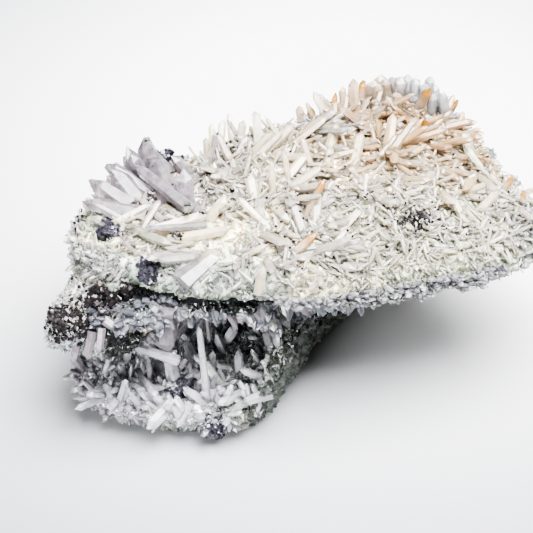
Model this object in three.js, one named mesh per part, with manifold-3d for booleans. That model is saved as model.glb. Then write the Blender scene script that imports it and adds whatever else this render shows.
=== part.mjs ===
// A needle quartz specimen: a plate of host rock on a broken foot, with a crystal-lined hollow
// between them. Quartz needles cover the plate and line the hollow, and crystals of galena and
// sphalerite sit among them. Millimetres, +Z up, the front is towards -Y, and the origin is at
// the middle of the flat underside.
import * as THREE from "three";
import { mergeVertices } from "three/addons/utils/BufferGeometryUtils.js";
import Module from "manifold-3d";

const wasm = await Module();
wasm.setup();

// Driving dimensions.
const SEAT_GAP = 0.3; // between pieces that touch
const NEEDLE_MAT = 3; // thickness of the mat of fine needles on the plate
const LINING = 1.7; // thickness of the fine quartz crust in the hollow
const ROOT = 1.4; // depth to which a crystal is rooted in them
const PLATE_TOP = 44.8; // height of the plate's upper rock face
const PLATE_BOTTOM = 36.5; // height of its underside
const LEDGE_TOP = 9; // height of the hollow's floor at its mouth
const HOLLOW_TOP = 34; // height of the hollow's roof
const NEEDLE_SPACING = 15.4; // between the needles that cover the plate
const NEEDLE_REACH = 0.93; // share of the way out to the plate's rim that they keep to
const STUB_COUNT = 34; // short crystals that would fit around the whole rim
const RIM_WRAP = 3.5; // how far down the rim the plate's mat reaches
const FRONT_WRAP = 3; // how much further it reaches at the front

// First indices of the crystals' repeatable numbers, apart from the plate's large ones at 0.
const FIRST_IN_HOLLOW = 60;
const FIRST_NEEDLE = 100;
const FIRST_STUB = 400;

/** A repeatable number from 0 to 1 for one trait of one crystal. */
function chance(index, trait) {
  const s = Math.sin(index * 127.1 + trait * 311.7) * 43758.5453;
  return s - Math.floor(s);
}

/** A repeatable number between two values. */
function between(low, high, index, trait) {
  return low + (high - low) * chance(index, trait);
}

/** Gentle lumps of broken rock, from about -1 to 1. */
function lumps(x, y, z) {
  return (
    0.45 * Math.sin(0.19 * x + 0.11 * y + 0.7) * Math.cos(0.16 * y - 0.13 * z) +
    0.35 * Math.sin(0.43 * x - 0.31 * y + 0.25 * z) +
    0.2 * Math.cos(0.71 * y + 0.53 * x + 0.4 * z)
  );
}

// ---------------------------------------------------------------------------------------------
// Solids
// ---------------------------------------------------------------------------------------------

/** A closed three.js geometry as a solid. */
function solidOf(geometry) {
  const plain = new THREE.BufferGeometry();
  const loose = geometry.index ? geometry.toNonIndexed() : geometry;
  plain.setAttribute("position", loose.getAttribute("position"));
  const merged = mergeVertices(plain, 1e-3);
  return new wasm.Manifold(
    new wasm.Mesh({
      numProp: 3,
      vertProperties: merged.attributes.position.array,
      triVerts: new Uint32Array(merged.index.array),
    }),
  );
}

/** A solid as a three.js geometry. */
function geometryOf(solid) {
  const { vertProperties, triVerts } = solid.getMesh();
  return new THREE.BufferGeometry()
    .setAttribute("position", new THREE.BufferAttribute(vertProperties, 3))
    .setIndex(new THREE.BufferAttribute(triVerts, 1));
}

/** All solids of a list joined, two by two. */
function joined(solids) {
  if (solids.length === 1) return solids[0];
  const half = Math.ceil(solids.length / 2);
  return joined(solids.slice(0, half)).add(joined(solids.slice(half)));
}

/** The largest separate body of a solid, without the crumbs that a cut leaves. */
function mainBody(solid) {
  return solid.decompose().reduce((a, b) => (b.volume() > a.volume() ? b : a));
}

// ---------------------------------------------------------------------------------------------
// Rock
// ---------------------------------------------------------------------------------------------

// The rings of a block of rock, from the middle of its top, over its edge, to the middle of its
// underside: share of the way out to the rim, and share of the way up.
const RINGS = [
  [0.55, 1],
  [0.82, 0.97],
  [0.95, 0.84],
  [1, 0.52],
  [0.97, 0.2],
  [0.88, 0],
  [0.5, 0],
];

/** A block's measures with its rim: points on a smooth closed curve through its outline. */
function withRim(spec) {
  const corners = spec.outline.map(([x, y]) => new THREE.Vector3(x, y, 0));
  const points = new THREE.CatmullRomCurve3(corners, true).getSpacedPoints(spec.sectors);
  return { ...spec, rim: points.slice(0, spec.sectors).map((p) => [p.x, p.y]) };
}

/** How far out from the middle of a block a point of the plan lies: 0 there, 1 on the rim. */
function reachOf({ middle: [mx, my], rim }, x, y) {
  const [px, py] = [x - mx, y - my];
  for (let i = 0; i < rim.length; i++) {
    const [ax, ay] = [rim[i][0] - mx, rim[i][1] - my];
    const next = rim[(i + 1) % rim.length];
    const [bx, by] = [next[0] - mx, next[1] - my];
    const besideA = ax * py - ay * px;
    const besideB = px * by - py * bx;
    if (besideA >= 0 && besideB >= 0) return (besideA + besideB) / (ax * by - ay * bx);
  }
  return 0;
}

/** Height of a block's upper skin over a point of the plan. */
function skinHeight(spec, x, y) {
  const reach = Math.min(reachOf(spec, x, y), 0.999);
  const outer = RINGS.findIndex(([share]) => share > reach);
  const [share0, rise0] = outer > 0 ? RINGS[outer - 1] : [0, 1];
  const [share1, rise1] = RINGS[outer];
  const rise = THREE.MathUtils.mapLinear(reach, share0, share1, rise0, rise1);
  const flatZ = THREE.MathUtils.lerp(spec.bottom(x, y), spec.top(x, y), rise);
  return flatZ + spec.roughness * lumps(x, y, flatZ) * (2 * rise - 1);
}

/** A block of rock over an outline in plan. Its surface moves out by grow all over. */
function block(spec, grow = 0) {
  const { middle, rim, top, bottom, sectors, roughness } = spec;
  const vertices = [];
  const addVertex = (dx, dy, reach, rise) => {
    const [x, y] = [middle[0] + dx * reach, middle[1] + dy * reach];
    const flatZ = THREE.MathUtils.lerp(bottom(x, y), top(x, y), rise);
    const bump = roughness * lumps(x, y, flatZ);
    const out = (bump * reach ** 4 + grow * reach) / (Math.hypot(dx, dy) || 1);
    const up = 2 * rise - 1;
    const bumpUp = rise > 0.1 ? bump * Math.abs(up) : 0;
    vertices.push(x + dx * out, y + dy * out, flatZ + bumpUp + grow * up);
  };
  addVertex(0, 0, 0, 1);
  for (const [reach, rise] of RINGS)
    for (const [x, y] of rim) addVertex(x - middle[0], y - middle[1], reach, rise);
  addVertex(0, 0, 0, 0);

  const last = 1 + RINGS.length * sectors;
  const faces = [];
  for (let i = 0; i < sectors; i++) {
    const next = (i + 1) % sectors;
    faces.push(0, 1 + i, 1 + next);
    for (let ring = 0; ring < RINGS.length - 1; ring++) {
      const [a, b] = [1 + ring * sectors + i, 1 + ring * sectors + next];
      faces.push(a, a + sectors, b, b, a + sectors, b + sectors);
    }
    faces.push(last, last - sectors + next, last - sectors + i);
  }
  const geometry = new THREE.BufferGeometry();
  geometry.setAttribute("position", new THREE.Float32BufferAttribute(vertices, 3));
  geometry.setIndex(faces);
  return solidOf(geometry);
}

// The upper plate, which dips where the big crystals lie.
const plate = withRim({
  middle: [8, 60],
  outline: [
    [-60, 34], [-47, 25], [-32, 20], [-18, 17], [-3, 18], [7, 16], [22, 18], [40, 22],
    [58, 27], [74, 34], [85, 43], [82, 58], [72, 71], [67, 86], [63, 102], [50, 113],
    [34, 115], [19, 109], [5, 97], [-10, 94], [-23, 80], [-38, 84], [-50, 72], [-58, 54],
  ],
  top: (x, y) =>
    PLATE_TOP +
    2.5 * Math.exp(-(((x - 20) / 34) ** 2) - ((y - 66) / 30) ** 2) -
    4 * Math.exp(-(((x + 28) / 13) ** 2) - ((y - 58) / 14) ** 2) -
    0.03 * (x - 8),
  bottom: (x, y) => PLATE_BOTTOM + 0.02 * (y - 60),
  sectors: 28,
  roughness: 1.5,
});

// The block that hangs out at the left, under the plate.
const shoulder = withRim({
  middle: [-49, 27],
  outline: [
    [-68, 16], [-66, 10], [-59, 8], [-51, 12], [-42, 16.5], [-33, 22], [-28, 32], [-34, 44],
    [-46, 50], [-57, 44], [-62, 33], [-66, 24],
  ],
  top: (x, y) => 41 - 0.42 * Math.max(0, -54 - x) - 0.25 * Math.max(0, 22 - y),
  bottom: (x, y) => 28 + 0.05 * (y - 20),
  sectors: 16,
  roughness: 2,
});

// The foot that carries everything, up to the plate.
const foot = withRim({
  middle: [-18, 46],
  outline: [
    [-59, 10], [-50, 3], [-38, 0.5], [-28, 1], [-18, -2], [-6, 0.5], [2, 14], [8, 28],
    [17, 44], [30, 58], [37, 76], [28, 92], [4, 94], [-18, 86], [-38, 74], [-52, 57], [-59, 34],
  ],
  top: () => PLATE_BOTTOM + 2.5,
  bottom: () => 0,
  sectors: 23,
  roughness: 3,
});

// The hollow between plate and foot, open at the front and the left. Its roof rises out of the
// mouth at the front, and is lower under the shoulder.
const hollow = withRim({
  middle: [-26, 22],
  outline: [
    [-66, -14], [-36, -18], [-12, -14], [-4, 2], [0, 16], [4, 28], [5, 38], [-4, 46], [-20, 50],
    [-38, 48], [-50, 42], [-58, 32], [-66, 26], [-72, 6],
  ],
  top: (x, y) =>
    HOLLOW_TOP -
    6 * THREE.MathUtils.smoothstep(-x, 38, 52) -
    0.08 * Math.max(0, y - 24) +
    9 * THREE.MathUtils.smoothstep(19 - y, 0, 9) * THREE.MathUtils.smoothstep(x, -50, -38),
  bottom: (x, y) => LEDGE_TOP + 0.14 * Math.max(0, y - 8) + 0.12 * Math.max(0, x + 14),
  sectors: 20,
  roughness: 1.2,
});

/** The blocks before the hollow is cut from them. */
function uncutRock(grow = 0) {
  return joined([block(plate, grow), block(shoulder, grow), block(foot, grow)]);
}

/** The host rock in one piece. Grown by a gap, it cuts the pieces that sit on it. */
function rock(grow = 0) {
  return uncutRock(grow).subtract(block(hollow, -grow));
}

// ---------------------------------------------------------------------------------------------
// Crystals
// ---------------------------------------------------------------------------------------------

/** Direction with a heading in plan, 0 to the right and 90 to the back, and a lean from upright. */
function direction(heading, lean) {
  const [turn, tilt] = [heading, lean].map(THREE.MathUtils.degToRad);
  return new THREE.Vector3(
    Math.sin(tilt) * Math.cos(turn),
    Math.sin(tilt) * Math.sin(turn),
    Math.cos(tilt),
  );
}

/** A quartz crystal: a six-sided prism with a pointed end, rooted below the given place. */
function quartz({ at, heading, lean, length, width, index }) {
  const radius = width / 2;
  const point = Math.min(0.75 * width, 0.4 * length);
  const profile = [
    [0, -ROOT],
    [radius, -ROOT],
    [radius * 0.9, length - point],
    [0, length],
  ].map(([r, h]) => new THREE.Vector2(r, h));
  const geometry = new THREE.LatheGeometry(profile, 6);
  const position = geometry.getAttribute("position");
  // Three faces of the point are larger than the three between them: every other edge of the
  // prism, whose upper end is the third of its four vertices, stops lower.
  for (let edge = 1; edge < 6; edge += 2) {
    const upperEnd = edge * profile.length + 2;
    position.setY(upperEnd, position.getY(upperEnd) - 0.4 * point);
  }
  geometry.scale(1, 1, between(0.68, 1, index, 5)); // most prisms are a little flat
  geometry.rotateY(between(0, Math.PI, index, 6));
  const upright = new THREE.Vector3(0, 1, 0);
  geometry.applyQuaternion(
    new THREE.Quaternion().setFromUnitVectors(upright, direction(heading, lean)),
  );
  return solidOf(geometry.translate(...at));
}

/** Points of a jittered grid, [x, y, index], over a block's plan out to a share of its rim. */
function scatter(spec, spacing, share, firstIndex) {
  const [xs, ys] = [0, 1].map((axis) => spec.rim.map((point) => point[axis]));
  const points = [];
  let index = firstIndex;
  for (let x = Math.min(...xs); x < Math.max(...xs); x += spacing)
    for (let y = Math.min(...ys); y < Math.max(...ys); y += spacing) {
      index += 1;
      const px = x + spacing * between(0.05, 0.95, index, 1);
      const py = y + spacing * between(0.05, 0.95, index, 2);
      if (reachOf(spec, px, py) < share) points.push([px, py, index]);
    }
  return points;
}

// The crystals of the plate that stand out, as [x, y, heading, lean, length, width]: a fan of large
// ones over the dip at the left, and single needles towards the back and the right edge.
const plateCrystals = [
  [-20, 48, 140, 80, 27, 5.3], [-24, 53, 95, 45, 14, 8], [-29, 64, 130, 70, 17, 7.4],
  [-35, 49, 155, 68, 15, 4], [-36, 58, 140, 62, 14, 4], [-19, 42, -160, 78, 17, 3.2],
  [-23, 19, 45, 76, 16, 8], [-17, 45, 45, 54, 9, 4], [-42, 46, 170, 60, 11, 3.4],
  [-40, 70, 120, 55, 12, 4.5], [-2, 18, 75, 30, 7, 3.8], [1, 41, 135, 70, 14, 3],
  [11, 46, 55, 50, 14, 3], [5, 57, 25, 65, 14, 3.1], [14, 69, 110, 50, 11, 2.4],
  [7, 62, 100, 54, 11, 2.4], [2, 58, 95, 40, 10, 2.6], [-17, 82, 80, 40, 9, 2.6],
  [16, 97, 140, 30, 10, 2.4], [36, 87, 100, 35, 9, 2.4], [-8, 90, 140, 42, 11, 2.6],
  [19, 105, 110, 30, 9, 2.4], [33, 112, 60, 28, 11, 2.4], [29, 110, 100, 32, 10, 2.4],
  [52, 107, 50, 30, 10, 3.2], [59, 102, 30, 40, 9, 2.6], [66, 75, 45, 30, 9, 2.4],
  [73, 66, 30, 50, 9, 2.6], [77, 57, 50, 25, 9, 2.4], [43, 86, 10, 74, 15, 3.2],
  [59, 48, 120, 55, 9, 3.2], [63, 51, 35, 55, 9, 3.6], [7, 27, 30, 60, 10, 3.7],
  [18, 27, 50, 65, 9, 2.8],
];

// The crystals of the hollow that stand out, as [x, y, z, heading, lean, length, width]: the
// hanging ones from the roof first, then those of the floor from the back to the mouth.
const hollowCrystals = [
  [-29, 17, 33, -90, 165, 10, 6.2], [-34, 18, 31, 165, 105, 6, 4], [-23, 19, 33, 165, 168, 8, 2.8],
  [-22, 18, 33, 168, 155, 12, 2.8], [-17, 19, 33, -78, 168, 10, 2.5], [-10, 17, 34, -10, 170, 7, 2.4],
  [-1, 17, 34, -90, 165, 6, 2.4], [-30, 27, 12, 166, 76, 14, 3.7], [-13, 25, 12, 148, 25, 6, 4.7],
  [-8, 17, 11, 98, 28, 7, 3.6], [-16, 17, 10, 90, 34, 7, 2.6], [-42, 21, 11, 69, 30, 7, 3.2],
  [-47, 20, 11, 86, 25, 9, 3.2], [-54, 22, 11, 80, 31, 7, 3.2], [-39, 19, 10, -65, 76, 18, 2.8],
  [-32, 15, 10, 40, 46, 10, 6.6], [-20, 12, 10, 76, 30, 16, 2.6], [-39, 12, 10, -49, 74, 14, 3.2],
  [-6, 10, 10, -132, 74, 12, 3.8], [-28, 8, 10, -118, 76, 14, 3.8], [-50, 9, 9, -124, 76, 9, 2.8],
  [-44, 8, 9, -95, 72, 8, 4.8],
];

/** The plate's mat of needles: it covers the top and wraps over the rim, lower down at the front. */
function plateMat() {
  const [mx, my] = plate.middle;
  const wide = 1.3; // times the plate, so that only the band's flat underside meets the mat
  const band = withRim({
    ...plate,
    outline: plate.outline.map(([x, y]) => [mx + wide * (x - mx), my + wide * (y - my)]),
    top: () => PLATE_TOP + 20,
    bottom: (x, y) =>
      PLATE_TOP - RIM_WRAP - FRONT_WRAP * THREE.MathUtils.smoothstep(40 - y, 0, 25),
    roughness: 0,
  });
  return block(plate, SEAT_GAP + NEEDLE_MAT).intersect(block(band));
}

/** The plate's druse: its mat, the large crystals, the needles and the stubs along the rim. */
function plateDruse() {
  const large = plateCrystals.map(([x, y, heading, lean, length, width], index) => {
    const at = [x, y, skinHeight(plate, x, y) + NEEDLE_MAT];
    return quartz({ at, heading, lean, length, width, index });
  });
  const needles = scatter(plate, NEEDLE_SPACING, NEEDLE_REACH, FIRST_NEEDLE).map(([x, y, index]) => {
    const outward = THREE.MathUtils.radToDeg(Math.atan2(y - plate.middle[1], x - plate.middle[0]));
    return quartz({
      at: [x, y, skinHeight(plate, x, y) + NEEDLE_MAT],
      // They point outwards more and more towards the rim.
      heading: outward + between(-140, 140, index, 3) * (1.3 - reachOf(plate, x, y)),
      lean: between(30, 72, index, 4),
      length: between(6, 12, index, 7),
      width: between(1.9, 3.2, index, 8),
      index,
    });
  });
  const stubs = withRim({ ...plate, sectors: STUB_COUNT })
    .rim.map(([x, y], index) => [x, y, FIRST_STUB + index])
    .filter(([x, y]) => x > -2 && y < 44) // only along the front, right of the hollow
    .map(([x, y, index]) =>
      quartz({
        at: [x, y, between(PLATE_BOTTOM + 3, PLATE_BOTTOM + 5, index, 3)],
        heading: -75 + 0.6 * x + between(-25, 25, index, 4),
        lean: between(95, 145, index, 7),
        length: between(3.5, 6.5, index, 8),
        width: between(2.2, 3.6, index, 9),
        index,
      }),
    );
  return joined([plateMat(), ...large, ...needles, ...stubs]);
}

/** The hollow's lining: a crust on its roof, back and floor, with crystals on all of them. */
function hollowDruse() {
  const crust = block(hollow, -SEAT_GAP)
    .subtract(block(hollow, -SEAT_GAP - LINING))
    .intersect(uncutRock());
  const crystals = hollowCrystals.map(([x, y, z, heading, lean, length, width], i) =>
    quartz({ at: [x, y, z], heading, lean, length, width, index: FIRST_IN_HOLLOW + i }),
  );
  return joined([crust, ...crystals]);
}

// ---------------------------------------------------------------------------------------------
// Galena and sphalerite
// ---------------------------------------------------------------------------------------------

/** A place on a block's skin. */
function onto(spec, x, y) {
  return [x, y, skinHeight(spec, x, y) + 1.2];
}

// Clusters of galena cubes, as name, middle, reach of the cluster and number of cubes.
const galenaClusters = [
  ["galena_front", onto(plate, -37, 25), 4, 4],
  ["galena_left", onto(plate, -49, 39), 4, 4],
  ["galena_back_left", onto(plate, -37, 78), 4, 4],
  ["galena_back_right", onto(plate, 50, 109), 4, 4],
  ["galena_right", onto(plate, 43, 45), 4, 4],
  ["galena_hollow", [-28, 12, 11], 3, 3],
  ["galena_foot", [-18, 1.5, 5], 5, 4],
];

// Clusters of sphalerite grains on the shoulder, with the same values.
const sphaleriteClusters = [
  ["sphalerite_shoulder", onto(shoulder, -49, 19), 8, 7],
  ["sphalerite_edge", onto(shoulder, -60, 13.5), 5, 4],
];

/** A galena crystal: a cube, with its faces moved out by grow. */
function cube(size, grow) {
  return new THREE.BoxGeometry(size + 2 * grow, size + 2 * grow, size + 2 * grow);
}

/** A grain of sphalerite: an octahedron, with its faces moved out by grow. */
function grain(size, grow) {
  return new THREE.OctahedronGeometry(0.75 * size + Math.sqrt(3) * grow);
}

/** A cluster of crystals of one shape, spiralling out to its reach, each turned its own way. */
function cluster(shape, [x, y, z], reach, count, seed, grow = 0) {
  const crystals = [];
  for (let i = 0; i < count; i++) {
    const index = 20 * seed + i;
    const geometry = shape(between(2.8, 4.4, index, 1), grow);
    geometry.rotateX(between(0, 3, index, 2)).rotateZ(between(0, 3, index, 3));
    const out = 0.8 * reach * Math.sqrt(i / count);
    const turn = 2.4 * i + seed;
    geometry.translate(x + out * Math.cos(turn), y + out * Math.sin(turn), z);
    crystals.push(solidOf(geometry));
  }
  return joined(crystals);
}

// ---------------------------------------------------------------------------------------------
// The specimen
// ---------------------------------------------------------------------------------------------

const finish = {
  rock: new THREE.MeshStandardMaterial({ color: 0x8f9a90, roughness: 0.95, metalness: 0 }),
  quartz: new THREE.MeshStandardMaterial({ color: 0xe9e6e0, roughness: 0.25, metalness: 0 }),
  galena: new THREE.MeshStandardMaterial({ color: 0x4a4d5c, roughness: 0.35, metalness: 0.9 }),
  sphalerite: new THREE.MeshStandardMaterial({ color: 0x2e2622, roughness: 0.4, metalness: 0 }),
};

const specimen = new THREE.Group();

/** Adds one named piece to the specimen. */
function addPiece(name, solid, material) {
  const mesh = new THREE.Mesh(geometryOf(mainBody(solid)), material);
  mesh.name = name;
  specimen.add(mesh);
}

const seat = rock(SEAT_GAP);
const ores = [
  ...galenaClusters.map((values) => [...values, cube, finish.galena]),
  ...sphaleriteClusters.map((values) => [...values, grain, finish.sphalerite]),
];
const pockets = ores.map(([, at, reach, count, shape], seed) =>
  cluster(shape, at, reach, count, seed, SEAT_GAP),
);
const underDruse = joined([seat, ...pockets]);

addPiece("host_rock", rock(), finish.rock);
addPiece("quartz_druse_top", plateDruse().subtract(underDruse), finish.quartz);
addPiece("quartz_druse_hollow", hollowDruse().subtract(underDruse), finish.quartz);
ores.forEach(([name, at, reach, count, shape, material], seed) =>
  addPiece(name, cluster(shape, at, reach, count, seed).subtract(seat), material),
);

// The origin goes to the middle of the underside.
const box = new THREE.Box3().setFromObject(specimen);
specimen.position.set(-(box.min.x + box.max.x) / 2, -(box.min.y + box.max.y) / 2, -box.min.z);

export default specimen;
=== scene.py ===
"""Dresses a needle quartz specimen: broken host rock, two quartz druses, galena and sphalerite.

The plan used for places is the specimen's own, in millimetres: x to the right, y to the back,
z up from the surface that it rests on. Plan.to_frame turns it into the frame's metres.
"""

import logging
import math
from dataclasses import dataclass, field, replace
from enum import Enum, auto
from typing import Any, Callable, Iterable, Optional, Sequence

import bmesh
import bpy
import numpy as np
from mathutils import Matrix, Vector, noise
from mathutils.bvhtree import BVHTree

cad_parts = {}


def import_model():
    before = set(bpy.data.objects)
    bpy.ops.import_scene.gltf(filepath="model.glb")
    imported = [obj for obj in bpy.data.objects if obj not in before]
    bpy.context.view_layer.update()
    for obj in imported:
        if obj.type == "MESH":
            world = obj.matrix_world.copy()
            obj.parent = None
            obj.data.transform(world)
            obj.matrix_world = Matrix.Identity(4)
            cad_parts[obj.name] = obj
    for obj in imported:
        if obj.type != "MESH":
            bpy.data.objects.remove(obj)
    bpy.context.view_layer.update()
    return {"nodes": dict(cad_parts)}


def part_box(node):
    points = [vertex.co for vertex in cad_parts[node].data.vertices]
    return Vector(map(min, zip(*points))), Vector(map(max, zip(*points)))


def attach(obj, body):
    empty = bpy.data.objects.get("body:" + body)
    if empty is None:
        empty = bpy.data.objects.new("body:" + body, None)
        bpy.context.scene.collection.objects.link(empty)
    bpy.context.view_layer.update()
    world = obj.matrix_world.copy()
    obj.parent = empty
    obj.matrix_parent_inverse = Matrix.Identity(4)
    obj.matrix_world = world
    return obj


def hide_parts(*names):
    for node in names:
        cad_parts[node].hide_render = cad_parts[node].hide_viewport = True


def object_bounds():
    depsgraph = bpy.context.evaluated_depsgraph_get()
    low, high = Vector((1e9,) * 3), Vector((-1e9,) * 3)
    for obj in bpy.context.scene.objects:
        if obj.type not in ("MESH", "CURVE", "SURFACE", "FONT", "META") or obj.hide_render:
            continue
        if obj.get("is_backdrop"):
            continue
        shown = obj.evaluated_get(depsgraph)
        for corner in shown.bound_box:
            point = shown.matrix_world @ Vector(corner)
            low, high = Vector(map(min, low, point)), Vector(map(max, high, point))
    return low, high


LOG = logging.getLogger("specimen")

MM = 0.001  # metres in a millimetre

# Driving sizes of the specimen, in millimetres of its plan.
ROCK_CORNER = (-64.40, -1.03)  # lowest x and y of the host rock
PLATE_TOP = 44.8
PLATE_BOTTOM = 40.0  # no place of the plate's top is lower
ABOVE_ALL = 80.0  # a height above the whole specimen
RIM_HEIGHT = 38.5  # the plate's mat of needles starts above it
HOLLOW_MIDDLE = (-26.0, 22.0, 21.0)
ROOT = 1.4  # depth to which a crystal is rooted
CRUST_ROOT = 0.6  # depth to which a crust goes into the rock
CRUST_EDGE = -0.5  # height of a crust's edge above the rock's skin
WORN = 0.12  # width of the worn edges of ore crystals

DOWN = Vector((0, 0, -1))
Array = np.ndarray


# ---------------------------------------------------------------------------------------------
# Numbers and colours
# ---------------------------------------------------------------------------------------------


def chance(index: int, trait: int) -> float:
    """Gives a repeatable number from 0 to 1 for one trait of one crystal."""
    value = math.sin(index * 127.1 + trait * 311.7) * 43758.5453
    return value - math.floor(value)


def linear(colour: str) -> tuple[float, float, float]:
    """Turns an sRGB hex colour such as "#A0B0C0" into linear red, green and blue."""
    channels = (int(colour[i : i + 2], 16) / 255 for i in (1, 3, 5))
    return tuple(c / 12.92 if c <= 0.04045 else ((c + 0.055) / 1.055) ** 2.4 for c in channels)


def unit(vectors: Array) -> Array:
    """Scales each row of an array to length 1."""
    return vectors / np.maximum(np.linalg.norm(vectors, axis=-1, keepdims=True), 1e-9)


def smoothstep(values: Array, low: float, high: float) -> Array:
    """Rises smoothly from 0 at low to 1 at high."""
    share = np.clip((values - low) / (high - low), 0, 1)
    return share * share * (3 - 2 * share)


def directions(headings: Array, leans: Array) -> Array:
    """Gives unit vectors from headings in plan and leans from upright.

    Args:
        headings: Degrees, 0 to the right and 90 to the back.
        leans: Degrees, 0 upright and 90 level.

    Returns:
        One unit vector per row.
    """
    turn, tilt = np.radians(headings), np.radians(leans)
    level = [np.sin(tilt) * np.cos(turn), np.sin(tilt) * np.sin(turn)]
    return np.stack([*level, np.cos(tilt)], axis=-1)


def blend(tints: Array, tint: Array, share: Array) -> None:
    """Moves tints, one row each, towards another tint by a share for each row."""
    tints += share[:, None] * (tint - tints)


def noise_field(spots: Array, size: float, seed: float, octaves: int = 2) -> Array:
    """Gives smooth noise at places.

    Args:
        spots: Places in plan millimetres.
        size: Size of the noise's lumps, in millimetres.
        seed: Shifts the noise, so that two fields differ.
        octaves: Number of finer layers.

    Returns:
        Numbers from about -1 to 1, one for each place.
    """
    offset = Vector((seed * 17.3, seed * 5.1, seed * 9.7))
    return np.array([noise.fractal(Vector(p) / size + offset, 0.9, 2.1, octaves) for p in spots])


def lumps_field(spots: Array, size: float, seed: float) -> Array:
    """Gives rounded grains packed side by side: 1 at a grain's middle and 0 at its edge.

    Args:
        spots: Places in plan millimetres.
        size: Size of the grains, in millimetres.
        seed: Shifts the grains.

    Returns:
        Numbers from 0 to 1, one for each place.
    """
    offset = Vector((seed * 3.7, seed * 11.9, seed * 6.1))
    nearest = (noise.voronoi(Vector(p) / size + offset)[0] for p in spots)
    return np.array([min(1.0, max(0.0, (far[1] - far[0]) * 1.6)) for far in nearest])


@dataclass(frozen=True)
class Plan:
    """The place of the specimen's plan in the frame, in millimetres."""

    shift: Vector

    @staticmethod
    def from_frame() -> "Plan":
        """Finds the shift from where the host rock's lowest corner lies in the frame."""
        low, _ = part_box("host_rock")
        return Plan(Vector((low[0] / MM - ROCK_CORNER[0], low[1] / MM - ROCK_CORNER[1], 0.0)))

    def to_frame(self, points: Array) -> Array:
        """Turns plan points in millimetres into frame points in metres."""
        return (np.asarray(points, dtype=float) + np.array(self.shift)) * MM

    def from_metres(self, points: Array) -> Array:
        """Turns frame points in metres into plan points in millimetres."""
        return np.asarray(points, dtype=float) / MM - np.array(self.shift)


# ---------------------------------------------------------------------------------------------
# Meshes
# ---------------------------------------------------------------------------------------------


@dataclass
class Shape:
    """Forms being gathered for one mesh, in plan millimetres, with tint and grain at each vertex."""

    vertices: list[Array] = field(default_factory=list)
    quads: list[Array] = field(default_factory=list)
    triangles: list[Array] = field(default_factory=list)
    tints: list[Array] = field(default_factory=list)
    grains: list[Array] = field(default_factory=list)
    count: int = 0  # of vertices so far

    def add(
        self, forms: Array, quads: Array, triangles: Array, tints: Array, grains: Array
    ) -> None:
        """Adds forms that all have the same faces.

        Args:
            forms: Places of each form's vertices.
            quads: Vertex numbers of one form's four-sided faces.
            triangles: The same for its three-sided faces.
            tints: Linear red, green, blue and clearness of each form's vertices.
            grains: Places in each form's own directions, in millimetres, its length last.
        """
        count, each = forms.shape[:2]
        starts = self.count + np.arange(count)[:, None, None] * each
        self.vertices.append(forms.reshape(-1, 3))
        self.quads.append((quads[None] + starts).reshape(-1, 4))
        self.triangles.append((triangles[None] + starts).reshape(-1, 3))
        self.tints.append(tints.reshape(-1, 4))
        self.grains.append(grains.reshape(-1, 3))
        self.count += count * each

    def build(self, name: str, plan: Plan, finish: "Finish") -> bpy.types.Object:
        """Makes the gathered forms one object of the scene.

        Args:
            name: The piece's name.
            plan: The plan's place in the frame.
            finish: The piece's finish.

        Returns:
            The new object.
        """
        quads, triangles = np.concatenate(self.quads), np.concatenate(self.triangles)
        corners = np.concatenate([quads.ravel(), triangles.ravel()]).astype(np.int32)
        sizes = np.repeat([4, 3], [len(quads), len(triangles)])
        mesh = bpy.data.meshes.new(name)
        mesh.vertices.add(self.count)
        mesh.vertices.foreach_set("co", plan.to_frame(np.concatenate(self.vertices)).ravel())
        mesh.loops.add(len(corners))
        mesh.loops.foreach_set("vertex_index", corners)
        mesh.polygons.add(len(sizes))
        mesh.polygons.foreach_set("loop_start", (np.cumsum(sizes) - sizes).astype(np.int32))
        mesh.polygons.foreach_set("use_smooth", np.full(len(sizes), False))
        paint(mesh, np.concatenate(self.tints))
        grain = mesh.attributes.new("grain", "FLOAT_VECTOR", "POINT")
        grain.data.foreach_set("vector", np.concatenate(self.grains).astype(np.float32).ravel())
        mesh.update(calc_edges=True)
        mesh.validate()
        mesh.materials.append(finish.material())
        return add_object(name, mesh)


def add_object(name: str, data: bpy.types.ID) -> bpy.types.Object:
    """Adds an object with its data to the scene."""
    made = bpy.data.objects.new(name, data)
    bpy.context.scene.collection.objects.link(made)
    return made


def copied(source: bpy.types.Object, name: str) -> bpy.types.Object:
    """Copies an object of the frame, with its mesh where it lies in the frame."""
    mesh = source.data.copy()
    mesh.transform(source.matrix_world)
    mesh.materials.clear()
    return add_object(name, mesh)


def baked(piece: bpy.types.Object) -> bpy.types.Object:
    """Applies an object's modifiers to its mesh."""
    shape = piece.evaluated_get(bpy.context.evaluated_depsgraph_get())
    mesh = bpy.data.meshes.new_from_object(shape)
    piece.modifiers.clear()
    piece.data = mesh
    return piece


def joined(name: str, first: bpy.types.Object, other: bpy.types.Object) -> bpy.types.Object:
    """Joins two objects of one finish.

    Args:
        name: The joined piece's name.
        first: The object that takes in the other.
        other: The other.

    Returns:
        The joined object.
    """
    shape = bmesh.new()
    shape.from_mesh(first.data)
    shape.from_mesh(other.data)
    bpy.data.meshes.remove(other.data)
    shape.to_mesh(first.data)
    shape.free()
    first.name = name
    first.data.name = name
    return first


def tree_of(*pieces: bpy.types.Object) -> BVHTree:
    """Gives a search tree over the faces of pieces."""
    vertices: list[Vector] = []
    faces: list[tuple[int, ...]] = []
    for piece in pieces:
        start = len(vertices)
        vertices.extend(v.co.copy() for v in piece.data.vertices)
        faces.extend(tuple(i + start for i in p.vertices) for p in piece.data.polygons)
    return BVHTree.FromPolygons(vertices, faces)


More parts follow.
